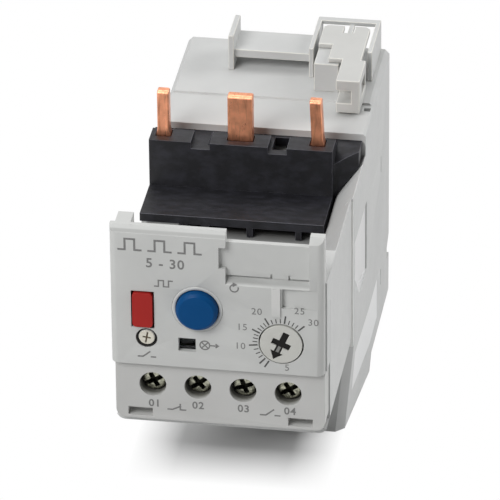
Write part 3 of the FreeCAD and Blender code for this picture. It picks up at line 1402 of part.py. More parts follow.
def make_mounting_latch():
    """Sliding latch in the cage: cross plate, waist and a hanging head with a tool recess."""
    body = new_body("mounting_latch")
    low = REAR_TOP + d.block_height + d.latch_gap
    high = low + d.latch_plate
    left, right = d.block_left, d.block_left + d.latch_cross_width
    back = d.body_depth - d.latch_setback
    cross_front = back - d.latch_cross_depth
    waist_front = cross_front - d.latch_waist_depth
    head_front = waist_front - d.latch_head_depth
    head_left, head_right = d.latch_head_left, d.latch_head_left + d.latch_head_width
    notch_right = d.latch_notch_left + d.latch_notch_width
    notch_floor = back - d.latch_notch_depth
    corner = d.latch_corner
    plan = [
        (left, cross_front), (d.latch_waist_left, cross_front), (d.latch_waist_left, waist_front),
        (right, waist_front), (right, back - corner), (right - corner, back), (notch_right, back),
        (notch_right, notch_floor), (d.latch_notch_left, notch_floor), (d.latch_notch_left, back),
        (left + corner, back), (left, back - corner),
    ]
    extrude(body, "latch_plate", "XY", low, high, [plan])
    head_low = high - d.latch_head_height
    block(body, "latch_head", (head_left, head_right), (head_front, waist_front), (head_low, high))
    window_low = head_low + d.latch_window_low
    window = (window_low, window_low + d.latch_window_tall)
    window_right = head_left + d.latch_window_width
    block(body, "latch_window", (head_left - d.over, window_right),
          (head_front - d.over, head_front + d.latch_window_depth), window, cut=True)
    slot_front = head_front + d.latch_slot_front
    block(body, "latch_slot", (window_right, head_right + d.over),
          (slot_front, slot_front + d.latch_slot_depth), window, cut=True)
    place(body)


make_front_cover()
make_terminal_strip()
make_front_housing()
make_base_housing()
make_pin_carrier()
for side, pin_at, load_at, width, foot_width, lean in zip(
    ("left", "middle", "right"), PIN_ACROSS, LOAD_ACROSS,
    (d.side_pin_width, d.pin_width, d.side_pin_width),
    (d.side_pin_foot, d.pin_width, d.side_pin_foot),
    (ZERO, ZERO, d.right_pin_lean),
):
    make_conductor(f"power_conductor_{side}", pin_at, load_at, width, foot_width, lean)
spread("transformer_cores", make_transformer_core, LOAD_ACROSS)
spread("transformer_windings", make_transformer_winding, LOAD_ACROSS)
spread("load_clamps", make_load_clamp, LOAD_ACROSS)
spread("load_screws", make_load_screw, LOAD_ACROSS)
spread("control_clamps", make_control_clamp, CONTROL_ACROSS)
spread("control_screws", make_control_screw, CONTROL_ACROSS)
spread("fixed_contacts", make_fixed_contact, CONTROL_ACROSS)
make_reset_button()
make_test_button()
make_trip_plunger()
make_spring("reset_spring", FLANGE_BACK, d.reset_stem, d.reset_wire, d.reset_across, RESET_HEIGHT)
make_spring("test_spring", FLANGE_BACK, d.test_stem, d.test_wire, d.test_across, TEST_HEIGHT)
make_spring("trip_spring", d.trip_sunk + d.trip_length, d.trip_stem, d.trip_wire, d.trip_across,
            TRIP_HEIGHT)
make_setting_dial()
make_dial_pointer()
make_potentiometer()
make_status_window()
make_trip_flag()
make_inner_frame()
make_circuit_board()
make_trip_slider()
make_contact_bridges()
make_trip_coil()
make_magnet_plunger()
make_coil_yoke()
make_mounting_bracket()
make_mounting_latch()
doc.recompute()

for item in doc.Objects:
    if any(word in ("Invalid", "Error") for word in item.State):
        raise RuntimeError(f"{item.Label} failed: {item.State}")
for piece in PIECES:
    if piece.Shape.isNull() or not piece.Shape.isValid():
        raise RuntimeError(f"{piece.Label} has no valid shape")

os.makedirs("parts", exist_ok=True)
for piece in PIECES:
    piece.Shape.exportStep(f"parts/{piece.Label}.step")
    print(piece.Label, len(piece.Shape.Solids), round(piece.Shape.Volume, 1))
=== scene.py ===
"""Looks of a motor overload relay: finishes, softened mouldings, screws, dial scale, marks, studio."""
import json
import logging
import math
from abc import ABC, abstractmethod
from dataclasses import dataclass, field, replace
from enum import Enum

import bmesh
import bpy
import numpy as np
from mathutils import Matrix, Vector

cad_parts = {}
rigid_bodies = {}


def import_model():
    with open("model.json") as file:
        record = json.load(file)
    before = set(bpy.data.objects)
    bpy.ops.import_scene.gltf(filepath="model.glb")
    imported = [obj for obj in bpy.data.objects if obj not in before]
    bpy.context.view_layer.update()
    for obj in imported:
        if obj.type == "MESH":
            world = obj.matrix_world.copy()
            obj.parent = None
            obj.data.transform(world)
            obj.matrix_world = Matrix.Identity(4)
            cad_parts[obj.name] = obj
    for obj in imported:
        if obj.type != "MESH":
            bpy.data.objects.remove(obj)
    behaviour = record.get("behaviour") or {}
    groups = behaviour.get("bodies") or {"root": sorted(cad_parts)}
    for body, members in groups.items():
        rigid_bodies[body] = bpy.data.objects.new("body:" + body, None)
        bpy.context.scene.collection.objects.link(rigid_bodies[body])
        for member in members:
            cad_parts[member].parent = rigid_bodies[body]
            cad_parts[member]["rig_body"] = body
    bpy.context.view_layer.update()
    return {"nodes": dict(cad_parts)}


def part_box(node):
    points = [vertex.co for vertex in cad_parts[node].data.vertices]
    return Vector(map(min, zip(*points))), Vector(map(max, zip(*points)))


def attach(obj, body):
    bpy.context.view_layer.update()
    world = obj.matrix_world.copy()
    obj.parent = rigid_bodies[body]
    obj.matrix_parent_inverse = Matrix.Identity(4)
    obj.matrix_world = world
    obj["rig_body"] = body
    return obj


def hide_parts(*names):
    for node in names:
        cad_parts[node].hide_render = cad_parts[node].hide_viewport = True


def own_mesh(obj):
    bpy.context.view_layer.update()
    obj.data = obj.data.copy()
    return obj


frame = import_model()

MM = 0.001
LOG = logging.getLogger("relay")

# Angle in degrees above which an edge of a worked-out surface stays sharp.
SHARP = 40.0
# Range of a noise value that carries nearly all of its pattern.
NOISE_LOW, NOISE_HIGH = 0.3, 0.7
# Numbers of a Mix node's colour sockets: both inputs and the result.
MIX_BELOW, MIX_ABOVE, MIX_RESULT = 6, 7, 2

Colour = tuple[float, float, float]
Point = tuple[float, float, float]
# Both limits of a stretch and the width of its soft border, in millimetres.
Span = tuple[float, float, float]
# A box: its stretch across, back and up, with None where it has no limits.
Box = tuple[Span | None, Span | None, Span | None]
# Points in millimetres and faces.
Surface = tuple[np.ndarray, list]
# Points in millimetres, faces, and how deep each point lies in a recess, 0 to 1.
Carved = tuple[np.ndarray, list, np.ndarray]
Socket = bpy.types.NodeSocket
Tree = bpy.types.NodeTree


def mixed(red: int, green: int, blue: int) -> Colour:
    """Linear colour of an eight-bit screen colour.

    Args:
        red: Red, 0 to 255.
        green: Green, 0 to 255.
        blue: Blue, 0 to 255.

    Returns:
        The linear colour that a shader socket takes.
    """
    share = np.array([red, green, blue], float) / 255.0
    low = share / 12.92
    high = ((share + 0.055) / 1.055) ** 2.4
    return tuple(float(v) for v in np.where(share <= 0.04045, low, high))


# Finishes


@dataclass(frozen=True)
class Finish(ABC):
    """Base of all finishes: a named material with one shader."""

    name: str
    slot: str
    colour: Colour
    roughness: float = 0.5
    gloss: float = 0.5

    @abstractmethod
    def build(self) -> bpy.types.Material:
        """Makes the material."""

    def start(self) -> tuple[bpy.types.Material, Tree, bpy.types.Node]:
        """Makes the material with its shader.

        Returns:
            The material, its node tree and its shader node.
        """
        material = bpy.data.materials.new(self.name)
        material.use_nodes = True
        tree = material.node_tree
        shader = tree.nodes["Principled BSDF"]
        shader.inputs["Base Color"].default_value = (*self.colour, 1.0)
        shader.inputs["Roughness"].default_value = self.roughness
        shader.inputs["Specular IOR Level"].default_value = self.gloss
        return material, tree, shader

    @staticmethod
    def noise(tree: Tree, size: float, stretch: Point = (1, 1, 1), detail: float = 2.0,
              wave: float = 0.0) -> Socket:
        """Noise on the piece's own coordinates.

        Args:
            tree: The material's nodes.
            size: Size of one blotch in millimetres.
            stretch: Factor on the pattern's frequency along each axis.
            detail: Octaves.
            wave: How far the pattern is bent.

        Returns:
            The noise value's socket.
        """
        place = tree.nodes.new("ShaderNodeTexCoord")
        turn = tree.nodes.new("ShaderNodeMapping")
        turn.inputs["Scale"].default_value = stretch
        pattern = tree.nodes.new("ShaderNodeTexNoise")
        pattern.inputs["Scale"].default_value = 1.0 / (size * MM)
        pattern.inputs["Detail"].default_value = detail
        pattern.inputs["Distortion"].default_value = wave
        tree.links.new(place.outputs["Object"], turn.inputs["Vector"])
        tree.links.new(turn.outputs["Vector"], pattern.inputs["Vector"])
        return pattern.outputs["Fac"]

    @staticmethod
    def spread(tree: Tree, value: Socket, low: float, high: float) -> Socket:
        """Carries a noise value to a range.

        Args:
            tree: The material's nodes.
            value: Socket of the noise.
            low: Result at the noise's low end.
            high: Result at the noise's high end.

        Returns:
            The socket of the result.
        """
        reach = tree.nodes.new("ShaderNodeMapRange")
        reach.inputs["From Min"].default_value = NOISE_LOW
        reach.inputs["From Max"].default_value = NOISE_HIGH
        reach.inputs["To Min"].default_value = low
        reach.inputs["To Max"].default_value = high
        tree.links.new(value, reach.inputs["Value"])
        return reach.outputs["Result"]

    @staticmethod
    def shades(tree: Tree, value: Socket, dark: Colour, light: Colour) -> Socket:
        """Carries a noise value to a colour between two shades.

        Args:
            tree: The material's nodes.
            value: Socket of the noise.
            dark: Colour at the noise's low end.
            light: Colour at the noise's high end.

        Returns:
            The socket of the colour.
        """
        ramp = tree.nodes.new("ShaderNodeValToRGB")
        first, last = ramp.color_ramp.elements
        first.position, first.color = NOISE_LOW, (*dark, 1.0)
        last.position, last.color = NOISE_HIGH, (*light, 1.0)
        tree.links.new(value, ramp.inputs["Fac"])
        return ramp.outputs["Color"]

    @staticmethod
    def relief(tree: Tree, shader: bpy.types.Node, value: Socket, depth: float,
               strength: float = 0.5) -> None:
        """Lays a fine relief over the surface.

        Args:
            tree: The material's nodes.
            shader: The shader that takes the relief.
            value: Socket of the height.
            depth: Height of the relief in millimetres.
            strength: Share of the relief that shows.
        """
        bump = tree.nodes.new("ShaderNodeBump")
        bump.inputs["Distance"].default_value = depth * MM
        bump.inputs["Strength"].default_value = strength
        tree.links.new(value, bump.inputs["Height"])
        tree.links.new(bump.outputs["Normal"], shader.inputs["Normal"])

    @staticmethod
    def within(tree: Tree, box: Box) -> Socket:
        """A mask on the piece's own coordinates: 1 inside a box, 0 outside, with a soft border.

        Args:
            tree: The material's nodes.
            box: The box.

        Returns:
            The mask's socket.
        """
        place = tree.nodes.new("ShaderNodeTexCoord")
        parts = tree.nodes.new("ShaderNodeSeparateXYZ")
        tree.links.new(place.outputs["Object"], parts.inputs["Vector"])
        mask = None
        for axis, (low, high, blur) in ((axis, span) for axis, span in enumerate(box) if span is not None):
            inside = tree.nodes.new("ShaderNodeMath")
            inside.operation = "SUBTRACT"
            inside.inputs[1].default_value = (low + high) / 2 * MM
            tree.links.new(parts.outputs[axis], inside.inputs[0])
            away = tree.nodes.new("ShaderNodeMath")
            away.operation = "ABSOLUTE"
            tree.links.new(inside.outputs["Value"], away.inputs[0])
            fall = tree.nodes.new("ShaderNodeMapRange")
            fall.inputs["From Min"].default_value = ((high - low) / 2 + blur / 2) * MM
            fall.inputs["From Max"].default_value = ((high - low) / 2 - blur / 2) * MM
            tree.links.new(away.outputs["Value"], fall.inputs["Value"])
            if mask is None:
                mask = fall.outputs["Result"]
                continue
            both = tree.nodes.new("ShaderNodeMath")
            both.operation = "MULTIPLY"
            tree.links.new(fall.outputs["Result"], both.inputs[0])
            tree.links.new(mask, both.inputs[1])
            mask = both.outputs["Value"]
        return mask

    @staticmethod
    def over(tree: Tree, shader: bpy.types.Node, mask: Socket, colour: Colour) -> None:
        """Lays a second colour over the shader's own where a mask is 1.

        Args:
            tree: The material's nodes.
            shader: The shader, whose colour is linked already.
            mask: Socket of the mask.
            colour: The second colour.
        """
        below = shader.inputs["Base Color"].links[0].from_socket
        blend = tree.nodes.new("ShaderNodeMix")
        blend.data_type = "RGBA"
        blend.inputs[MIX_ABOVE].default_value = (*colour, 1.0)
        tree.links.new(mask, blend.inputs[0])
        tree.links.new(below, blend.inputs[MIX_BELOW])
        tree.links.new(blend.outputs[MIX_RESULT], shader.inputs["Base Color"])

    def shade(self, factor: float) -> Colour:
        """The finish's colour times a factor."""
        return tuple(min(1.0, c * factor) for c in self.colour)


@dataclass(frozen=True)
class Moulded(Finish):
    """Moulded plastic: faint mottling, a fine spark-eroded grain, uneven gloss."""

    grain: float = 0.16
    depth: float = 0.012
    mottle: float = 0.03
    mottle_size: float = 9.0
    gloss_size: float = 1.4

    def build(self) -> bpy.types.Material:
        """Makes the material.

        Returns:
            The material.
        """
        material, tree, shader = self.start()
        blotches = self.noise(tree, self.mottle_size, detail=4.0)
        colour = self.shades(tree, blotches, self.shade(1 - self.mottle), self.shade(1 + self.mottle))
        tree.links.new(colour, shader.inputs["Base Color"])
        worn = self.noise(tree, self.gloss_size)
        gloss = self.spread(tree, worn, self.roughness - 0.05, self.roughness + 0.06)
        tree.links.new(gloss, shader.inputs["Roughness"])
        self.relief(tree, shader, self.noise(tree, self.grain, detail=3.0), self.depth)
        return material


@dataclass(frozen=True)
class Patch:
    """A box on a piece in which its colour is another one."""

    colour: Colour
    across: Span | None = None
    back: Span | None = None
    up: Span | None = None


@dataclass(frozen=True)
class Patched(Moulded):
    """Moulded plastic with patches of other colours, each laid over those before it."""

    patches: tuple[Patch, ...] = ()

    def build(self) -> bpy.types.Material:
        """Makes the material.

        Returns:
            The material.
        """
        material = super().build()
        tree = material.node_tree
        for patch in self.patches:
            mask = self.within(tree, (patch.across, patch.back, patch.up))
            self.over(tree, tree.nodes["Principled BSDF"], mask, patch.colour)
        return material


@dataclass(frozen=True)
class Scuffed(Moulded):
    """Moulded plastic with paler rub marks along one axis."""

    rub: Colour = (0.1, 0.1, 0.1)
    rub_size: float = 1.3
    stroke: Point = (0.15, 1.0, 1.0)

    def build(self) -> bpy.types.Material:
        """Makes the material.

        Returns:
            The material.
        """
        material = super().build()
        tree = material.node_tree
        marks = self.spread(tree, self.noise(tree, self.rub_size, self.stroke, detail=8.0), -0.3, 0.7)
        self.over(tree, tree.nodes["Principled BSDF"], marks, self.rub)
        return material


@dataclass(frozen=True)
class Metal(Finish):
    """Bare or plated metal: drawing lines along one axis, stains, uneven gloss."""

    lines: Point = (1.0, 1.0, 1.0)
    line_size: float = 0.5
    stain: float = 0.15
    stain_size: float = 3.0
    depth: float = 0.006
    streak: float = 0.0
    wave: float = 0.0

    def build(self) -> bpy.types.Material:
        """Makes the material.

        Returns:
            The material.
        """
        material, tree, shader = self.start()
        shader.inputs["Metallic"].default_value = 1.0
        stains = self.noise(tree, self.stain_size, detail=4.0)
        colour = self.shades(tree, stains, self.shade(1 - self.stain), self.shade(1 + self.stain))
        tree.links.new(colour, shader.inputs["Base Color"])
        drawn = self.noise(tree, self.line_size, self.lines, 3.0, self.wave)
        gloss = self.spread(tree, drawn, self.roughness - 0.08, self.roughness + 0.1)
        tree.links.new(gloss, shader.inputs["Roughness"])
        self.relief(tree, shader, drawn, self.depth)
        if self.streak:
            self.over(tree, shader, self.spread(tree, drawn, -self.streak, self.streak), self.shade(0.3))
        return material


@dataclass(frozen=True)
class Recessed(Metal):
    """Metal with painted shade in its recesses: the pieces carry how deep each point lies as the attribute
    cut.
    """

    metallic: float = 1.0
    # Colour of the painted shade, laid on by how deep each point lies.
    recess_shade: Colour = (0.008, 0.008, 0.006)

    def build(self) -> bpy.types.Material:
        """Makes the material.

        Returns:
            The material.
        """
        material = super().build()
        tree = material.node_tree
        shader = tree.nodes["Principled BSDF"]
        shader.inputs["Metallic"].default_value = self.metallic
        deep = tree.nodes.new("ShaderNodeAttribute")
        deep.attribute_name = "cut"
        self.over(tree, shader, deep.outputs["Fac"], self.recess_shade)
        return material


@dataclass(frozen=True)
class ClearPlastic(Finish):
    """Clear window plastic with faint haze."""

    def build(self) -> bpy.types.Material:
        """Makes the material.

        Returns:
            The material.
        """
        material, tree, shader = self.start()
        shader.inputs["Transmission Weight"].default_value = 1.0
        shader.inputs["IOR"].default_value = 1.15
        haze = self.spread(tree, self.noise(tree, 0.8), self.roughness - 0.03, self.roughness + 0.05)
        tree.links.new(haze, shader.inputs["Roughness"])
        return material


@dataclass(frozen=True)
class Printed(Finish):
    """Pad-printed ink, slightly uneven."""

    def build(self) -> bpy.types.Material:
        """Makes the material.

        Returns:
            The material.
        """
        material, tree, shader = self.start()
        blots = self.noise(tree, 0.25, detail=3.0)
        colour = self.shades(tree, blots, self.shade(0.85), self.shade(1.2))
        tree.links.new(colour, shader.inputs["Base Color"])
        return material


# Patches of the face plate: painted highlight on the tab; painted shade on the lip under the label panel,
# inside the openings and on the slope of the apron.
PULL_TAB_HIGHLIGHT = Patch(mixed(216, 216, 214), across=(10.5, 13.3, 0.04), back=(-47.2, -46.68, 0.04),
                 up=(51.0, 58.0, 3.0))
LABEL_LIP_SHADE = Patch(mixed(166, 167, 165), across=(1.6, 18.7, 0.1), back=(-46.3, -45.2, 0.5),
                  up=(56.7, 58.2, 0.5))
BUTTON_OPENING_SHADE = Patch(mixed(36, 35, 34), across=(-19.0, 1.2, 0.1), back=(-46.35, -40.0, 0.2),
                        up=(45.2, 57.0, 0.1))
PLUNGER_OPENING_SHADE = Patch(mixed(36, 35, 34), across=(-17.6, -12.4, 0.1), back=(-46.35, -40.0, 0.2),
                        up=(40.2, 45.2, 0.1))
APRON_SLOPE_SHADE = Patch(mixed(180, 181, 179), across=(-22.6, 1.6, 0.1), back=(-46.9, -45.9, 0.3),
                    up=(67.3, 67.9, 0.2))

# Patches of the housings: painted shadow in the trough under the ledge, painted light on the edges of their
# seam against the shade of its groove, the bare label, painted highlight on the vent ramp.
TROUGH_SHADOW_FRONT = Patch(mixed(66, 65, 63), across=(-21.0, 17.5, 0.7), back=(-12.0, 20.0, 9.0),
                     up=(46.0, 56.9, 0.3))
TROUGH_SHADOW_BASE = replace(TROUGH_SHADOW_FRONT, across=(-20.5, 17.4, 0.7))
SEAM_LIGHT = Patch(mixed(250, 250, 248), across=(20.8, 23.0, 0.1), back=(-8.95, -8.25, 0.15), up=(15.0, 56.6, 0.5))
BARE_LABEL = Patch(mixed(243, 244, 244), across=(15.0, 30.0, 0.3), back=(-2.6, 28.9, 0.3),
                   up=(7.0, 16.5, 0.3))
VENT_RAMP_HIGHLIGHT = Patch(mixed(240, 240, 240), across=(20.7, 22.4, 0.04), back=(-2.6, 11.9, 0.25),
                  up=(28.5, 45.5, 0.1))

# Patches of strip and flag: painted shade inside the screw wells, the half of the flag that shows before a
# trip.
SCREW_WELL_SHADE = Patch(mixed(104, 103, 98), across=(-17.6, 17.6, 1.4), back=(-44.7, -36.0, 1.4),
                    up=(27.6, 34.8, 1.4))
UNTRIPPED = Patch(mixed(34, 36, 37), across=(-8.7, 20.0, 0.05))

LIGHT_GREY = Moulded("light grey moulding", "light_grey", mixed(204, 205, 204), 0.48)
COVER_GREY = Patched("face plate grey", "light_grey", mixed(204, 205, 203), 0.46,
                     patches=(PULL_TAB_HIGHLIGHT, LABEL_LIP_SHADE, BUTTON_OPENING_SHADE, PLUNGER_OPENING_SHADE, APRON_SLOPE_SHADE))
HOUSING_GREY = Patched("front housing grey", "light_grey", mixed(204, 205, 204), 0.48,
                       patches=(TROUGH_SHADOW_FRONT, SEAM_LIGHT))
SIDE_GREY = Patched("base grey with bare label, painted light and shade", "light_grey", mixed(204, 205, 204), 0.48,
                    patches=(BARE_LABEL, TROUGH_SHADOW_BASE, SEAM_LIGHT, VENT_RAMP_HIGHLIGHT))
STRIP_GREY = Patched("terminal strip grey", "mid_grey", mixed(200, 200, 198), 0.48, patches=(SCREW_WELL_SHADE,))
LATCH_GREY = Moulded("latch grey", "latch_grey", mixed(203, 203, 200), 0.44)
# Paler rounded edges of the grey mouldings: a painted highlight.
EDGE_HIGHLIGHT_GREY = Moulded("grey edge with painted highlight", "light_grey", mixed(226, 225, 219), 0.4)
BLACK = Scuffed("carrier black", "black", mixed(22, 22, 26), 0.46, 0.34, grain=0.3, depth=0.03,
                mottle=0.15, rub=mixed(46, 46, 53), stroke=(0.4, 1.0, 0.6))
# Paler rounded edges of the black carrier: wear and a painted highlight.
EDGE_WEAR_AND_HIGHLIGHT_BLACK = Moulded("black edge with wear and painted highlight", "black", mixed(70, 70, 78), 0.4, mottle=0.3)
POINTER = Moulded("pointer black", "black", mixed(12, 11, 8), 0.45, 0.2, mottle=0.2)
LIMB_GREY = Moulded("pointer limb grey", "black", mixed(132, 132, 128), 0.4)
DIAL_GREY = Moulded("dial grey", "white", mixed(205, 205, 199), 0.42)
WHITE = Moulded("white acetal", "white", mixed(222, 222, 218), 0.38)
# The plunger cap's shallow cross gets a brownish painted shade.
CREAM = Recessed("plunger cream", "white", mixed(226, 222, 208), 0.42, stain=0.04, depth=0.004, metallic=0.0,
                 recess_shade=mixed(72, 58, 34))
BLUE = Moulded("reset blue", "blue", mixed(6, 73, 128), 0.42, 0.1, mottle=0.05)
RED = Moulded("test red", "red", mixed(172, 42, 38), 0.42, 0.16, mottle=0.05)
COMPONENT_BLUE = Moulded("component case blue", "component_blue", mixed(36, 80, 148), 0.3)
AMBER = Patched("flag amber and black", "flag_amber", mixed(224, 166, 60), 0.42, patches=(UNTRIPPED,))
BOARD = Moulded("solder resist green", "board_green", mixed(34, 112, 66), 0.3, grain=0.6, mottle=0.1)
CLEAR = ClearPlastic("window plastic", "clear", (0.8, 0.82, 0.83), 0.06, 0.1)
COPPER = Metal("drawn copper", "copper", mixed(236, 162, 126), 0.33, lines=(1.0, 1.0, 0.14), line_size=0.8,
               stain=0.2, stain_size=2.4, depth=0.03, streak=0.5, wave=0.8)
BRASS = Metal("contact brass", "contact_brass", mixed(216, 184, 116), 0.3)
ZINC = Metal("zinc plating", "zinc_steel", mixed(190, 192, 194), 0.34, stain_size=1.2)
# The screws' drive recesses and thread grooves get painted shade.
ZINC_SCREW = Recessed("zinc-plated screw", "zinc_steel", mixed(186, 188, 188), 0.32, stain_size=1.0)
DARK_SCREW = Recessed("passivated screw", "dark_steel", mixed(158, 158, 142), 0.28, stain_size=0.6, stain=0.6,
                      line_size=0.55, depth=0.14)
SPRING = Metal("spring wire", "spring_steel", mixed(184, 184, 184), 0.26)
CORE = Metal("core laminations", "core_steel", mixed(128, 128, 132), 0.4, lines=(1.0, 0.02, 0.02),
             line_size=0.3, depth=0.03)
INK = Printed("grey print", "black", mixed(124, 124, 123), 0.6)
DARK_INK = Printed("dark print", "black", mixed(74, 74, 73), 0.6)


class Dresser:
    """Keeps one material for each finish and puts it on pieces."""

    def __init__(self) -> None:
        """Starts with no material made."""
        self.made: dict[str, bpy.types.Material] = {}

    def material(self, finish: Finish) -> bpy.types.Material:
        """Gives a finish's material, made at its first use.

        Args:
            finish: The finish.

        Returns:
            Its material.
        """
        if finish.name not in self.made:
            self.made[finish.name] = finish.build()
        return self.made[finish.name]

    def paint(self, piece: bpy.types.Object, finish: Finish) -> bpy.types.Object:
        """Puts a finish on a piece.

        Args:
            piece: The piece.
            finish: The finish.

        Returns:
            The piece.
        """
        piece.data.materials.clear()
        piece.data.materials.append(self.material(finish))
        return piece

    def node(self, name: str, finish: Finish) -> None:
        """Puts a finish on a CAD node.

        Args:
            name: The node.
            finish: The finish.
        """
        self.paint(frame["nodes"][name], finish)
        LOG.info("node %s: %s", name, finish.name)


DRESSER = Dresser()


# Surfaces


def body_of(node: str) -> str:
    """Name of the body that a CAD node rides on."""
    return frame["nodes"][node]["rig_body"]


def piece_from(name: str, points: np.ndarray, faces: list, finish: Finish, body: str,
               smooth: float | None = None) -> bpy.types.Object:
    """Makes a piece from an array of points, in metres in the row frame.

    Args:
        name: The piece's name.
        points: Array of n by 3 coordinates.
        faces: Vertex numbers of each face.
        finish: The piece's finish.
        body: The body that it rides on.
        smooth: Angle in degrees above which an edge stays sharp, or None for flat faces.

    Returns:
        The piece.
    """
    mesh = bpy.data.meshes.new(name)
    mesh.from_pydata(points, [], faces)
    mesh.update()
    if smooth is not None:
        mesh.polygons.foreach_set("use_smooth", np.ones(len(mesh.polygons), bool))
        mesh.set_sharp_from_angle(angle=math.radians(smooth))
    piece = bpy.data.objects.new(name, mesh)
    bpy.context.scene.collection.objects.link(piece)
    DRESSER.paint(piece, finish)
    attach(piece, body)
    LOG.info("piece %s: %d faces, %s", name, len(mesh.polygons), finish.name)
    return piece


def marked(piece: bpy.types.Object, deep: np.ndarray) -> None:
    """Writes how deep each point lies in a recess as the piece's attribute cut."""
    cut = piece.data.attributes.new("cut", "FLOAT", "POINT")
    cut.data.foreach_set("value", deep.astype(np.float32))


def softened(node: str, finish: Finish, width: float, segments: int = 2, edge_wear_and_highlight: Finish | None = None,
             corner: float = 38.0, inner: float = 0.06, flat: float = 0.6) -> bpy.types.Object:
    """A copy of a CAD node with its edges rounded, which stands for the node.

    The copy's loose triangles are merged and its flat areas joined before a bevel rounds each edge. Where the
    rounded edges take a paler finish of painted highlight, with wear on the black carrier, inner edges are
    rounded to a hair only.

    Args:
        node: The node.
        finish: The finish.
        width: Width of the rounding in millimetres.
        segments: Faces across the rounding.
        edge_wear_and_highlight: Finish of the rounded edges, paler for a painted highlight and wear, or None
            for the piece's own.
        corner: Angle in degrees above which an edge is rounded.
        inner: Share of the rounding that an inner edge gets where the rounded edges take their own finish.
        flat: Angle in degrees below which neighbouring faces are joined.

    Returns:
        The piece.
    """
    mesh = frame["nodes"][node].data.copy()
    mesh.name = node + "_moulding"
    shell = bmesh.new()
    shell.from_mesh(mesh)
    bmesh.ops.remove_doubles(shell, verts=shell.verts, dist=1e-6)
    bmesh.ops.dissolve_limit(shell, angle_limit=math.radians(flat), verts=shell.verts, edges=shell.edges)
    sharp = np.array([edge.calc_face_angle(0.0) > math.radians(corner) for edge in shell.edges])
    share = np.where([edge.is_convex for edge in shell.edges], 1.0, inner) * sharp
    shell.to_mesh(mesh)
    shell.free()
    weights = mesh.attributes.new("bevel_weight_edge", "FLOAT", "EDGE")
    weights.data.foreach_set("value", share.astype(np.float32))
    mesh.polygons.foreach_set("use_smooth", np.ones(len(mesh.polygons), bool))
    mesh.set_sharp_from_angle(angle=math.radians(corner))
    piece = bpy.data.objects.new(node + "_moulding", mesh)
    bpy.context.scene.collection.objects.link(piece)
    bevel = piece.modifiers.new("edges", "BEVEL")
    bevel.width = width * MM
    bevel.segments = segments
    bevel.limit_method = "ANGLE"
    bevel.angle_limit = math.radians(corner)
    bevel.use_clamp_overlap = True
    bevel.harden_normals = True
    DRESSER.paint(piece, finish)
    # The rounded edges take the paler finish: a painted highlight, with wear on the black carrier.
    if edge_wear_and_highlight is not None:
        bevel.limit_method = "WEIGHT"
        mesh.materials.append(DRESSER.material(edge_wear_and_highlight))
        bevel.material = 1
    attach(piece, body_of(node))
    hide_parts(node)
    LOG.info("piece %s stands for %s, %s", piece.name, node, finish.name)
    return piece


class Recess(Enum):
    """Drive recess of a screw or plunger: turn in degrees, width, reach and depth of each arm, as shares."""

    COMBINED = ((0.0, 0.27, 1.4, 0.75), (0.0, 0.36, 0.66, 1.0), (90.0, 0.36, 0.66, 1.0))
    PLUNGER = ((80.0, 0.2, 0.86, 1.0), (-8.0, 0.22, 0.52, 1.0))


def smooth_step(value: np.ndarray, edge: float, blur: float) -> np.ndarray:
    """1 below the edge and 0 above it, with a cubic fall of width blur between."""
    t = np.clip((edge + blur / 2 - value) / blur, 0, 1)
    return t * t * (3 - 2 * t)


@dataclass
class ScrewHead:
    """A head that faces the front, as a height field over a disc.

    A square grid (u, v) goes to the disc by x = R u sqrt(1 - v^2 / 2), z = R v sqrt(1 - u^2 / 2). The height
    is a shallow dome with a rounded rim, less the recess: the deepest of its arms at each point.
    """

    radius: float
    height: float
    recess: Recess
    depth: float = 1.0
    dome: float = 0.25
    rim: float = 0.35
    cells: int = 64
    blur_cells: float = 1.1

    def surface(self, turn: float) -> Carved:
        """The head about its own centre, x across, y back, z up.

        Args:
            turn: The recess's turn from level, in degrees.

        Returns:
            The points in millimetres, the faces, and how deep each point lies in the recess, 0 to 1.
        """
        line = np.linspace(-1, 1, self.cells + 1)
        u, v = np.meshgrid(line, line, indexing="ij")
        x = self.radius * u * np.sqrt(1 - v * v / 2)
        z = self.radius * v * np.sqrt(1 - u * u / 2)
        r = np.hypot(x, z)
        top = self.height - self.dome * (r / self.radius) ** 2
        into_rim = np.clip((r - (self.radius - self.rim)) / self.rim, 0, 1)
        top = top - self.rim * (1 - np.sqrt(np.clip(1 - into_rim ** 2, 0, 1)))
        blur = self.blur_cells * 2 * self.radius / self.cells
        cut = np.zeros_like(x)
        for way, width, reach, share in self.recess.value:
            c, s = math.cos(math.radians(turn + way)), math.sin(math.radians(turn + way))
            beside = smooth_step(np.abs(c * z - s * x), width * self.radius / 2, blur)
            within = smooth_step(np.abs(c * x + s * z), reach * self.radius, blur)
            cut = np.maximum(cut, share * beside * within)
        face = np.stack([x, self.depth * cut - top, z], -1)
        n = self.cells + 1
        number = np.arange(n * n).reshape(n, n)
        quads = np.stack([number[:-1, :-1], number[1:, :-1], number[1:, 1:], number[:-1, 1:]], -1)
        rim = np.concatenate([number[:-1, 0], number[-1, :-1], number[:0:-1, -1], number[0, :0:-1]])
        back = face.reshape(-1, 3)[rim].copy()
        back[:, 1] = 0.0
        foot = n * n + np.arange(len(rim))
        skirt = np.stack([rim, foot, np.roll(foot, -1), np.roll(rim, -1)], -1)
        points = np.concatenate([face.reshape(-1, 3), back])
        deep = np.concatenate([cut.ravel(), np.zeros(len(back))])
        return points, quads.reshape(-1, 4).tolist() + skirt.tolist() + [foot[::-1].tolist()], deep


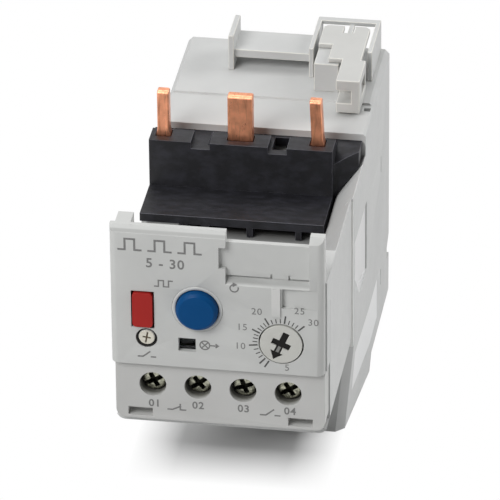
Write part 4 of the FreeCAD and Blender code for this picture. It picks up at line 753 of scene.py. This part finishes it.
@dataclass
class Thread:
    """A threaded shank behind a head, as a grid of turns a and lengths y.

    The radius is R - D |2 frac(y / P - a / 2 pi) - 1|, a triangular groove that climbs one pitch P each turn.
    """

    radius: float
    length: float
    pitch: float = 0.7
    depth: float = 0.28
    around: int = 28
    along: int = 8
    overlap: float = 0.1
    # Share of painted shade at the bottom of the groove.
    recess_shade: float = 0.6

    def surface(self) -> Carved:
        """The shank from the head's back at y = 0, x across, y back, z up.

        Returns:
            The points in millimetres, the faces, and how deep each point lies in the groove, 0 to 1, times
            the share of painted shade.
        """
        rows = int(round(self.length / self.pitch * self.along)) + 1
        turn = np.arange(self.around) * 2 * np.pi / self.around
        y, a = np.meshgrid(np.linspace(-self.overlap, self.length, rows), turn, indexing="ij")
        groove = np.abs(2 * np.mod(y / self.pitch - a / (2 * np.pi), 1.0) - 1)
        r = self.radius - self.depth * groove
        points = np.stack([r * np.cos(a), y, r * np.sin(a)], -1).reshape(-1, 3)
        number = np.arange(rows * self.around).reshape(rows, self.around)
        ahead = np.roll(number, -1, 1)
        sides = np.stack([number[:-1], number[1:], ahead[1:], ahead[:-1]], -1).reshape(-1, 4)
        faces = sides.tolist() + [number[0].tolist(), number[-1, ::-1].tolist()]
        return points, faces, self.recess_shade * groove.ravel()


@dataclass
class Rim:
    """A raised ring that faces the front, as a surface of revolution (r cos a, y, r sin a).

    Its profile (r, y) is a rectangle whose front is a half ellipse: r = M + W cos b, y = y0 - H sin b.
    """

    inner: float
    outer: float
    front: float
    back: float
    crown: float = 0.2
    around: int = 96
    over: int = 9

    def surface(self) -> Surface:
        """The ring about its own axis, x across, y back, z up.

        Returns:
            The points in millimetres and the faces.
        """
        b = np.linspace(math.pi, 0.0, self.over)
        middle, half = (self.outer + self.inner) / 2, (self.outer - self.inner) / 2
        r = np.concatenate([[self.outer, self.inner], middle + half * np.cos(b)])
        y = np.concatenate([[self.back, self.back], self.front + self.crown * (1 - np.sin(b))])
        a = np.arange(self.around)[:, None] * 2 * np.pi / self.around
        points = np.stack([r * np.cos(a), np.broadcast_to(y, (self.around, len(y))), r * np.sin(a)], -1)
        number = np.arange(points.shape[0] * points.shape[1]).reshape(points.shape[:2])
        beside, ahead = np.roll(number, -1, 1), np.roll(number, -1, 0)
        skin = np.stack([number, beside, np.roll(beside, -1, 0), ahead], -1)
        return points.reshape(-1, 3), skin.reshape(-1, 4).tolist()


@dataclass
class Coil:
    """A compression spring, as a grid of turns a along its wire and angles b round it.

    Each point is ((R + w cos b) cos a, y0 + L a / A + w sin b, (R + w cos b) sin a) for a from 0 to
    A = 2 pi N, with the wire's radius w.
    """

    wire: float
    turns: float = 4.0
    steps: int = 32
    sides: int = 10

    def surface(self, outer: float, length: float) -> Surface:
        """The spring from its front at y = 0, x across, y back, z up.

        Args:
            outer: Its outer radius in millimetres.
            length: Its length in millimetres.

        Returns:
            The points in millimetres and the faces.
        """
        w = self.wire / 2
        whole = 2 * np.pi * self.turns
        rows = int(round(self.turns * self.steps)) + 1
        across = np.arange(self.sides) * 2 * np.pi / self.sides
        a, b = np.meshgrid(np.linspace(0, whole, rows), across, indexing="ij")
        r = outer - w + w * np.cos(b)
        y = w + (length - 2 * w) * a / whole + w * np.sin(b)
        points = np.stack([r * np.cos(a), y, r * np.sin(a)], -1).reshape(-1, 3)
        number = np.arange(rows * self.sides).reshape(rows, self.sides)
        ahead = np.roll(number, -1, 1)
        skin = np.stack([number[:-1], ahead[:-1], ahead[1:], number[1:]], -1).reshape(-1, 4)
        return points, skin.tolist() + [number[0, ::-1].tolist(), number[-1].tolist()]


def joined(shapes: list[Surface]) -> Surface:
    """Joins several surfaces into one.

    Args:
        shapes: Points and faces of each surface.

    Returns:
        All points and all faces.
    """
    starts = np.cumsum([0] + [len(p) for p, _ in shapes[:-1]])
    faces = [[int(i + start) for i in face] for start, (_, fs) in zip(starts, shapes) for face in fs]
    return np.concatenate([p for p, _ in shapes]), faces


def plate(outline: np.ndarray, front: float, thickness: float) -> Surface:
    """A thin plate that faces the front.

    Args:
        outline: n by 2 corners (across, up), anticlockwise seen from the front, in millimetres.
        front: Place of its front face along the depth, in millimetres.
        thickness: Thickness in millimetres.

    Returns:
        Points in millimetres and faces.
    """
    n = len(outline)
    level = np.full((n, 1), front)
    near = np.concatenate([outline[:, :1], level, outline[:, 1:]], 1)
    far = near + np.array([0.0, thickness, 0.0])
    k = np.arange(n)
    sides = np.stack([k, k + n, (k + 1) % n + n, (k + 1) % n], -1)
    return np.concatenate([near, far]), [k.tolist(), (k[::-1] + n).tolist()] + sides.tolist()


def ribbon(path: np.ndarray, width: float, front: float, thickness: float) -> Surface:
    """A printed line that faces the front: a flat profile carried along a path.

    Each path point is moved to both sides along the mitre m = (n1 + n2) / (1 + n1 . n2) of the normals n1 and
    n2 of the runs that meet there, times half the width.

    Args:
        path: n by 2 points (across, up) in millimetres.
        width: Line width in millimetres.
        front: Place of its front face along the depth, in millimetres.
        thickness: Thickness in millimetres.

    Returns:
        Points in millimetres and faces.
    """
    way = np.roll(path, -1, 0) - path
    way[-1] = way[-2]
    way = way / np.linalg.norm(way, axis=1, keepdims=True)
    after = np.stack([-way[:, 1], way[:, 0]], -1)
    before = np.roll(after, 1, 0)
    before[0] = after[0]
    mitre = (after + before) / (1 + np.sum(after * before, 1, keepdims=True)) * width / 2
    n = len(path)
    flat = np.concatenate([path + mitre, path - mitre])
    near = np.stack([flat[:, 0], np.full(2 * n, front), flat[:, 1]], -1)
    points = np.concatenate([near, near + np.array([0.0, thickness, 0.0])])
    k = np.arange(n - 1)
    m = k + 1
    back = 2 * n
    rows = [(k, k + n, m + n, m), (k + back, m + back, m + n + back, k + n + back),
            (k, m, m + back, k + back), (k + n, k + n + back, m + n + back, m + n)]
    sides = np.concatenate([np.stack(row, -1) for row in rows]).tolist()
    ends = [[0, back, n + back, n], [n - 1, back - 1, 2 * back - 1, n - 1 + back]]
    return points, sides + ends


def arc(centre: tuple[float, float], radius: float, start: float, end: float, steps: int = 32) -> np.ndarray:
    """Points on an arc.

    Args:
        centre: Its centre (across, up) in millimetres.
        radius: Its radius in millimetres.
        start: First angle, in degrees clockwise from up.
        end: Last angle.
        steps: Runs along it.

    Returns:
        steps + 1 points (across, up).
    """
    angle = np.radians(np.linspace(start, end, steps + 1))
    return np.stack([centre[0] + radius * np.sin(angle), centre[1] + radius * np.cos(angle)], -1)


def figures(words: tuple[tuple[str, float, float], ...], size: float, front: float, thickness: float,
            bold: float = 0.0, share: float = 0.7, gap: float = 1.12) -> Surface:
    """Printed figures that face the front.

    Args:
        words: Each text with its middle (across, up) in millimetres.
        size: Height of a figure in millimetres.
        front: Place of the front face along the depth, in millimetres.
        thickness: Thickness in millimetres.
        bold: How far each outline is moved out, in millimetres.
        share: Height of a figure as a share of the type's size.
        gap: Factor on the space between figures.

    Returns:
        Points in millimetres and faces.
    """
    shapes = []
    for text, across, up in words:
        curve = bpy.data.curves.new("figure", "FONT")
        curve.body = text
        curve.align_x = "CENTER"
        curve.align_y = "CENTER"
        curve.size = size / share
        curve.offset = bold
        curve.space_character = gap
        curve.extrude = thickness / 2
        curve.resolution_u = 4
        held = bpy.data.objects.new("figure", curve)
        bpy.context.scene.collection.objects.link(held)
        bpy.context.view_layer.update()
        mesh = bpy.data.meshes.new_from_object(held.evaluated_get(bpy.context.evaluated_depsgraph_get()))
        flat = np.zeros(len(mesh.vertices) * 3)
        mesh.vertices.foreach_get("co", flat)
        flat = flat.reshape(-1, 3)
        middle = (flat.min(0) + flat.max(0)) / 2
        points = np.stack([flat[:, 0] - middle[0] + across, front + thickness / 2 - flat[:, 2],
                           flat[:, 1] - middle[1] + up], -1)
        shapes.append((points, [list(p.vertices) for p in mesh.polygons]))
        bpy.data.objects.remove(held)
        bpy.data.meshes.remove(mesh)
        bpy.data.curves.remove(curve)
    return joined(shapes)


# Sub-assemblies


@dataclass
class Casing:
    """Cover, terminal strip, housings and pin carrier."""

    edge: float = 0.22
    carrier_edge: float = 0.2

    def build(self) -> None:
        """Softens and dresses the mouldings."""
        softened("front_cover", COVER_GREY, self.edge)
        softened("terminal_strip", STRIP_GREY, self.edge)
        softened("front_housing", HOUSING_GREY, self.edge)
        softened("base_housing", SIDE_GREY, self.edge)
        softened("pin_carrier", BLACK, self.carrier_edge, edge_wear_and_highlight=EDGE_WEAR_AND_HIGHLIGHT_BLACK)


@dataclass
class Controls:
    """Reset and test buttons, trip plunger, window."""

    edge: float = 0.3
    edge_faces: int = 3
    plunger_edge: float = 0.12
    cap: ScrewHead = field(default_factory=lambda: ScrewHead(
        radius=1.62, height=0.16, recess=Recess.PLUNGER, depth=0.14, dome=0.02, rim=0.1, cells=48))
    cap_at: Point = (-15.0, -46.29, 42.78)
    cap_sharp: float = 50.0
    rim: Rim = field(default_factory=lambda: Rim(inner=4.5, outer=5.26, front=-46.74, back=-46.15))

    def build(self) -> None:
        """Softens and dresses the controls and lays a rim round the reset button."""
        low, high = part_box("reset_button")
        points, faces = self.rim.surface()
        points = points * MM + np.array([(low.x + high.x) / 2, 0.0, (low.z + high.z) / 2])
        piece_from("reset_rim", points, faces, COVER_GREY, "casing", SHARP)
        softened("reset_button", BLUE, self.edge, self.edge_faces)
        softened("test_button", RED, self.edge, self.edge_faces)
        softened("trip_plunger", WHITE, self.plunger_edge)
        points, faces, deep = self.cap.surface(0.0)
        points = (points + np.array(self.cap_at)) * MM
        body = body_of("trip_plunger")
        marked(piece_from("trip_plunger_cap", points, faces, CREAM, body, self.cap_sharp), deep)
        DRESSER.node("status_window", CLEAR)


@dataclass
class Dial:
    """The setting dial, its pointer and the printed scale on the cover.

    A line of the scale or pointer is its inner radius, outer radius and width.
    """

    dial_edge: float = 0.07
    pointer_edge: float = 0.08
    across: float = 12.9
    up: float = 43.6
    face: float = -46.6
    print_thickness: float = 0.03
    long_ticks: tuple = (-149.0, -138.0, -96.8, -63.0, -30.0, 8.3, 46.4)
    long_line: Point = (4.9, 6.7, 0.32)
    short_line: Point = (4.9, 5.9, 0.2)
    spaces: int = 4
    numbers: tuple = (("5", 1.2, -5.5), ("10", -8.3, -1.1), ("15", -7.9, 3.4), ("20", -5.0, 7.3),
                      ("25", 3.8, 8.1), ("30", 6.7, 5.6))
    number_size: float = 1.5
    limb_angle: float = 204.0
    limb_line: Point = (0.75, 2.2, 0.62)

    def tick(self, angle: float, line: Point, front: float) -> Surface:
        """One radial line of the scale.

        Args:
            angle: Its direction in degrees clockwise from up.
            line: Its inner radius, outer radius and width in millimetres.
            front: Place of its front face.

        Returns:
            Points and faces.
        """
        inner, outer, width = line
        a = math.radians(angle)
        way = np.array([math.sin(a), math.cos(a)])
        centre = np.array([self.across, self.up])
        path = np.stack([centre + way * inner, centre + way * outer])
        return ribbon(path, width, front, self.print_thickness)

    def build(self) -> None:
        """Dresses the dial and prints the scale."""
        softened("setting_dial", DIAL_GREY, self.dial_edge)
        softened("dial_pointer", POINTER, self.pointer_edge)
        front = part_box("dial_pointer")[0].y / MM - self.print_thickness / 2
        points, faces = self.tick(self.limb_angle, self.limb_line, front)
        piece_from("pointer_limb", points * MM, faces, LIMB_GREY, body_of("dial_pointer"))
        front = self.face - self.print_thickness
        lines = [self.tick(angle, self.long_line, front) for angle in self.long_ticks]
        for low, high in zip(self.long_ticks[1:], self.long_ticks[2:]):
            between = np.linspace(low, high, self.spaces + 1)[1:-1]
            lines += [self.tick(float(angle), self.short_line, front) for angle in between]
        points, faces = joined(lines)
        piece_from("dial_scale", points * MM, faces, DARK_INK, "casing")
        words = tuple((text, self.across + dx, self.up + dz) for text, dx, dz in self.numbers)
        points, faces = figures(words, self.number_size, front, self.print_thickness)
        piece_from("dial_figures", points * MM, faces, INK, "casing")


class Sign(Enum):
    """Printed signs: strokes of points (across, up) in shares of the sign's height."""

    PULSE = (((-1.4, -0.5), (-0.75, -0.5), (-0.75, 0.5), (0.0, 0.5), (0.0, -0.5), (0.75, -0.5), (0.75, 0.5),
              (1.4, 0.5)),)
    OPENS = (((-1.2, -0.3), (-0.5, -0.3), (0.45, 0.5)), ((0.5, -0.3), (1.2, -0.3)))
    CLOSED = (((-1.1, -0.3), (-0.5, -0.3), (0.5, 0.2)), ((0.4, 0.5), (0.4, -0.3), (1.1, -0.3)))
    LAMP = (((-0.36, -0.36), (0.36, 0.36)), ((-0.36, 0.36), (0.36, -0.36)))
    ARROW = (((0.6, 0.0), (2.0, 0.0)), ((1.55, 0.35), (2.0, 0.0), (1.55, -0.35)))
    BIMETAL = (((-1.0, -0.5), (-0.4, -0.5), (-0.4, 0.5), (0.4, 0.5), (0.4, -0.5), (1.0, -0.5)),)


@dataclass
class Marks:
    """Printed signs and plain figures on the face plate and the terminal strip.

    A sign has its middle (across, up), height and line width; a ring its middle, radius and both end angles;
    a figure its text and middle.
    """

    face: float = -46.6
    strip: float = -45.6
    thickness: float = 0.03
    step: float = 0.006
    signs: tuple = ((Sign.PULSE, -11.3, 55.9, 1.4, 0.3), (Sign.OPENS, -15.0, 38.8, 1.6, 0.32),
                    (Sign.LAMP, -2.9, 42.0, 2.0, 0.26), (Sign.ARROW, -2.7, 42.0, 1.3, 0.28),
                    (Sign.BIMETAL, -18.2, 64.6, 2.5, 0.42), (Sign.BIMETAL, -12.0, 64.6, 2.5, 0.42),
                    (Sign.BIMETAL, -5.8, 64.6, 2.5, 0.42))
    strip_signs: tuple = ((Sign.CLOSED, -9.1, 26.0, 1.8, 0.32), (Sign.OPENS, 10.4, 26.3, 1.8, 0.32))
    rings: tuple = ((-2.9, 42.0, 1.0, 0.0, 360.0), (3.3, 56.0, 0.85, 70.0, 340.0))
    ring_line: float = 0.28
    arrow_head: tuple = ((3.0, 56.25), (3.95, 56.85), (3.0, 57.4))
    figures: tuple = (("5 - 30", -10.9, 60.6),)
    figure_size: float = 2.1
    strip_figures: tuple = (("01", -13.94, 26.7), ("02", -4.64, 26.85), ("03", 4.8, 26.9),
                            ("04", 14.53, 27.1))
    strip_figure_size: float = 1.65
    bold: float = 0.05

    def strokes(self, sign: Sign, across: float, up: float, size: float, line: float,
                front: float) -> list[Surface]:
        """A sign's strokes, each a ribbon a hair behind the last, so that no two faces lie in one plane.

        Args:
            sign: The sign.
            across: Its middle across, in millimetres.
            up: Its middle's height.
            size: Its height.
            line: Line width.
            front: Place of its front face.

        Returns:
            Points and faces of each stroke.
        """
        paths = [np.array(stroke) * size + np.array([across, up]) for stroke in sign.value]
        return [ribbon(path, line, front + self.step * number, self.thickness)
                for number, path in enumerate(paths)]

    def build(self) -> None:
        """Prints the signs and the figures."""
        front = self.face - self.thickness
        shapes = [run for sign in self.signs for run in self.strokes(*sign, front)]
        shapes += [ribbon(arc((x, z), r, a, b), self.ring_line, front - self.step, self.thickness)
                   for x, z, r, a, b in self.rings]
        shapes.append(plate(np.array(self.arrow_head), front, self.thickness))
        shapes.append(figures(self.figures, self.figure_size, front, self.thickness, self.bold))
        points, faces = joined(shapes)
        piece_from("face_print", points * MM, faces, INK, "casing")
        front = self.strip - self.thickness
        shapes = [run for sign in self.strip_signs for run in self.strokes(*sign, front)]
        shapes.append(figures(self.strip_figures, self.strip_figure_size, front, self.thickness, self.bold))
        points, faces = joined(shapes)
        piece_from("strip_print", points * MM, faces, INK, "casing")


@dataclass
class Terminals:
    """Control and load terminals with finished screws."""

    control_seat: float = 1.6
    control_head: ScrewHead = field(default_factory=lambda: ScrewHead(
        radius=2.5, height=2.7, recess=Recess.COMBINED, dome=0.3, rim=0.45))
    control_thread: Thread = field(default_factory=lambda: Thread(radius=1.5, length=4.6))
    control_turns: tuple = (28.0, 38.0, 20.0, 32.0)
    load_seat: float = 2.0
    load_head: ScrewHead = field(default_factory=lambda: ScrewHead(
        radius=3.3, height=2.0, recess=Recess.COMBINED, depth=1.1))
    load_thread: Thread = field(default_factory=lambda: Thread(radius=2.0, length=3.0))
    load_turns: tuple = (12.0, 65.0, -20.0)
    metals: tuple = (("control_clamps", ZINC), ("load_clamps", ZINC), ("fixed_contacts", BRASS),
                     ("control_screws", DARK_SCREW), ("load_screws", ZINC_SCREW))

    @staticmethod
    def screws(node: str, seat: float, head: ScrewHead, thread: Thread, turns: tuple, finish: Finish) -> None:
        """Finished screws that stand for a node's, evenly spaced across its box.

        Args:
            node: The node.
            seat: Distance of the head's back from the front of the node's box, in millimetres.
            head: Shape of the head.
            thread: Shape of the shank.
            turns: Turn of each screw's recess in degrees.
            finish: Their finish.
        """
        low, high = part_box(node)
        across = np.linspace(low.x / MM + head.radius, high.x / MM - head.radius, len(turns))
        at = np.array([0.0, low.y / MM + seat, (low.z + high.z) / 2 / MM])
        parts = [part for turn in turns for part in (head.surface(turn), thread.surface())]
        moved = [(p + at + np.array([x, 0, 0]), f) for (p, f, _), x in zip(parts, np.repeat(across, 2))]
        points, faces = joined(moved)
        piece = piece_from(node + "_finished", points * MM, faces, finish, body_of(node), SHARP)
        marked(piece, np.concatenate([deep for _, _, deep in parts]))
        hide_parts(node)

    def build(self) -> None:
        """Dresses clamps and makes the screws."""
        for node, finish in self.metals:
            DRESSER.node(node, finish)
        self.screws("control_screws", self.control_seat, self.control_head, self.control_thread,
                    self.control_turns, DARK_SCREW)
        self.screws("load_screws", self.load_seat, self.load_head, self.load_thread,
                    self.load_turns, ZINC_SCREW)


@dataclass
class PowerPath:
    """Conductors, transformer cores and windings."""

    edge: float = 0.25

    def build(self) -> None:
        """Softens and dresses the power path."""
        for side in ("left", "middle", "right"):
            softened("power_conductor_" + side, COPPER, self.edge)
        DRESSER.node("transformer_cores", CORE)
        DRESSER.node("transformer_windings", COPPER)


@dataclass
class Mounting:
    """Bracket and sliding latch on the rear top."""

    edge: float = 0.22

    def build(self) -> None:
        """Softens and dresses the mounting pieces."""
        softened("mounting_bracket", LIGHT_GREY, self.edge, edge_wear_and_highlight=EDGE_HIGHLIGHT_GREY)
        softened("mounting_latch", LATCH_GREY, self.edge, edge_wear_and_highlight=EDGE_HIGHLIGHT_GREY)


@dataclass
class Mechanism:
    """Inner pieces: springs, frame, board, trip slider and coil.

    A spring has its node, its button's joint, the thickness of its wire and the button's travel.
    """

    finishes: tuple = (("reset_spring", SPRING), ("test_spring", SPRING), ("trip_spring", SPRING),
                       ("potentiometer", COMPONENT_BLUE), ("inner_frame", WHITE), ("circuit_board", BOARD),
                       ("trip_slider", WHITE), ("trip_flag", AMBER), ("contact_bridges", BRASS),
                       ("magnet_plunger", CORE), ("trip_coil", COPPER), ("coil_yoke", CORE))
    springs: tuple = (("reset_spring", "reset_press", 0.6, 2.5), ("test_spring", "test_press", 0.5, 1.4),
                      ("trip_spring", "trip_press", 0.45, 1.5))

    @staticmethod
    def spring(node: str, joint: str, wire: float, travel: float) -> None:
        """A finished spring that stands for a node.

        Args:
            node: The node.
            joint: The button's joint; not used.
            wire: Thickness of the wire in millimetres.
            travel: The button's travel in millimetres; not used.
        """
        low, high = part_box(node)
        length = (high.y - low.y) / MM
        points, faces = Coil(wire).surface((high.x - low.x) / 2 / MM, length)
        middle = (low + high) / 2
        at = np.array([middle.x, low.y, middle.z])
        piece = piece_from(node + "_finished", points * MM + at, faces, SPRING, body_of(node), SHARP)
        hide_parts(node)
        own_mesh(piece)

    def build(self) -> None:
        """Dresses the inner pieces and winds the springs."""
        for node, finish in self.finishes:
            DRESSER.node(node, finish)
        for spring in self.springs:
            self.spring(*spring)


# Studio


@dataclass
class Studio:
    """Floor, light and camera.

    The camera's values are in millimetres, degrees and pixels. A lamp has its name, its place and side in
    metres, and its power in watts.
    """

    target: Point = (1.867, -16.6, 47.9)
    azimuth: float = 9.036
    elevation: float = 29.725
    roll: float = -0.491
    distance: float = 1226.89
    focal_pixels: float = 5879.6
    picture_pixels: float = 500.0
    sensor: float = 36.0
    clip: tuple[float, float] = (0.05, 20.0)
    lamps: tuple = (("key", (-0.6, -0.8, 0.95), 0.7, 12.2), ("fill", (1.05, 0.5, 0.75), 0.8, 8.6),
                    ("top", (-0.1, 0.35, 1.2), 0.7, 4.0))
    aim: Point = (0.0, 0.0, 0.04)
    surround_glow: float = 0.13
    seen_glow: float = 1.0
    floor_half: float = 3.0
    floor_shade: float = 0.59
    floor_roughness: float = 0.85
    floor_gloss: float = 0.1
    shadow: Box = ((-18.0, 15.5, 10.0), (-25.0, 60.0, 16.0), None)

    def camera(self) -> None:
        """Places the camera at the photograph's angle."""
        a, e, t = (math.radians(v) for v in (self.azimuth, self.elevation, self.roll))
        back = np.array([math.sin(a) * math.cos(e), -math.cos(a) * math.cos(e), math.sin(e)])
        right = np.array([math.cos(a), math.sin(a), 0.0])
        up = np.cross(back, right)
        turned = (math.cos(t) * right + math.sin(t) * up, -math.sin(t) * right + math.cos(t) * up, back)
        eye = bpy.data.cameras.new("camera")
        eye.sensor_width = self.sensor
        eye.lens = self.focal_pixels / self.picture_pixels * self.sensor
        eye.clip_start, eye.clip_end = self.clip
        held = bpy.data.objects.new("camera", eye)
        bpy.context.scene.collection.objects.link(held)
        at = (np.array(self.target) + self.distance * back) * MM
        place = np.eye(4)
        place[:3, :3] = np.stack(turned, -1)
        place[:3, 3] = at
        held.matrix_world = Matrix(place.tolist())
        bpy.context.scene.camera = held

    def lamp(self, name: str, at: Point, size: float, watts: float) -> None:
        """A square soft lamp that looks at the part.

        Args:
            name: Its name.
            at: Its place in metres.
            size: Its side in metres.
            watts: Its power.
        """
        light = bpy.data.lights.new(name, "AREA")
        light.size, light.energy = size, watts
        held = bpy.data.objects.new(name, light)
        bpy.context.scene.collection.objects.link(held)
        back = np.array(at) - np.array(self.aim)
        back /= np.linalg.norm(back)
        right = np.cross((0.0, 0.0, 1.0), back)
        right /= np.linalg.norm(right)
        place = np.eye(4)
        place[:3, :3] = np.stack([right, np.cross(back, right), back], -1)
        place[:3, 3] = at
        held.matrix_world = Matrix(place.tolist())

    @staticmethod
    def seen_white(tree: Tree) -> Socket:
        """A socket that is 1 for rays from the camera, in gloss and through glass.

        Args:
            tree: The nodes.

        Returns:
            The socket.
        """
        ray = tree.nodes.new("ShaderNodeLightPath")
        total = ray.outputs["Is Camera Ray"]
        for name in ("Is Glossy Ray", "Is Transmission Ray"):
            larger = tree.nodes.new("ShaderNodeMath")
            larger.operation = "MAXIMUM"
            tree.links.new(total, larger.inputs[0])
            tree.links.new(ray.outputs[name], larger.inputs[1])
            total = larger.outputs["Value"]
        return total

    def world(self) -> None:
        """A soft grey surround that the camera sees as white."""
        world = bpy.data.worlds.new("surround")
        bpy.context.scene.world = world
        world.use_nodes = True
        tree = world.node_tree
        glow = tree.nodes["Background"]
        glow.inputs["Color"].default_value = (1.0, 1.0, 1.0, 1.0)
        reach = tree.nodes.new("ShaderNodeMapRange")
        reach.inputs["To Min"].default_value = self.surround_glow
        reach.inputs["To Max"].default_value = self.seen_glow
        tree.links.new(self.seen_white(tree), reach.inputs["Value"])
        tree.links.new(reach.outputs["Result"], glow.inputs["Strength"])

    def floor(self) -> None:
        """A wide pale floor, a flat square of one face, that the camera sees as white far from the part."""
        points = np.array([[-1, -1, 0], [1, -1, 0], [1, 1, 0], [-1, 1, 0]]) * self.floor_half
        mesh = bpy.data.meshes.new("floor")
        mesh.from_pydata(points, [], [[0, 1, 2, 3]])
        held = bpy.data.objects.new("floor", mesh)
        bpy.context.scene.collection.objects.link(held)
        paint = bpy.data.materials.new("pale floor")
        paint.use_nodes = True
        tree = paint.node_tree
        shader = tree.nodes["Principled BSDF"]
        shader.inputs["Base Color"].default_value = (*(self.floor_shade,) * 3, 1.0)
        shader.inputs["Roughness"].default_value = self.floor_roughness
        shader.inputs["Specular IOR Level"].default_value = self.floor_gloss
        seen = tree.nodes.new("ShaderNodeMath")
        seen.operation = "SUBTRACT"
        seen.use_clamp = True
        tree.links.new(self.seen_white(tree), seen.inputs[0])
        tree.links.new(Finish.within(tree, self.shadow), seen.inputs[1])
        glow = tree.nodes.new("ShaderNodeEmission")
        either = tree.nodes.new("ShaderNodeMixShader")
        tree.links.new(seen.outputs["Value"], either.inputs["Fac"])
        tree.links.new(shader.outputs["BSDF"], either.inputs[1])
        tree.links.new(glow.outputs["Emission"], either.inputs[2])
        tree.links.new(either.outputs["Shader"], tree.nodes["Material Output"].inputs["Surface"])
        mesh.materials.append(paint)

    def build(self) -> None:
        """Sets floor, light and camera."""
        bpy.context.scene.view_settings.view_transform = "Standard"
        self.floor()
        self.world()
        for lamp in self.lamps:
            self.lamp(*lamp)
        self.camera()


def main() -> None:
    """Builds every sub-assembly in order."""
    logging.basicConfig(level=logging.INFO, format="%(name)s: %(message)s")
    for kind in (Casing, Controls, Dial, Marks, Terminals, PowerPath, Mounting, Mechanism, Studio):
        assembly = kind()
        assembly.build()
        LOG.info("%s done", kind.__name__)


if __name__ == "__main__":
    main()
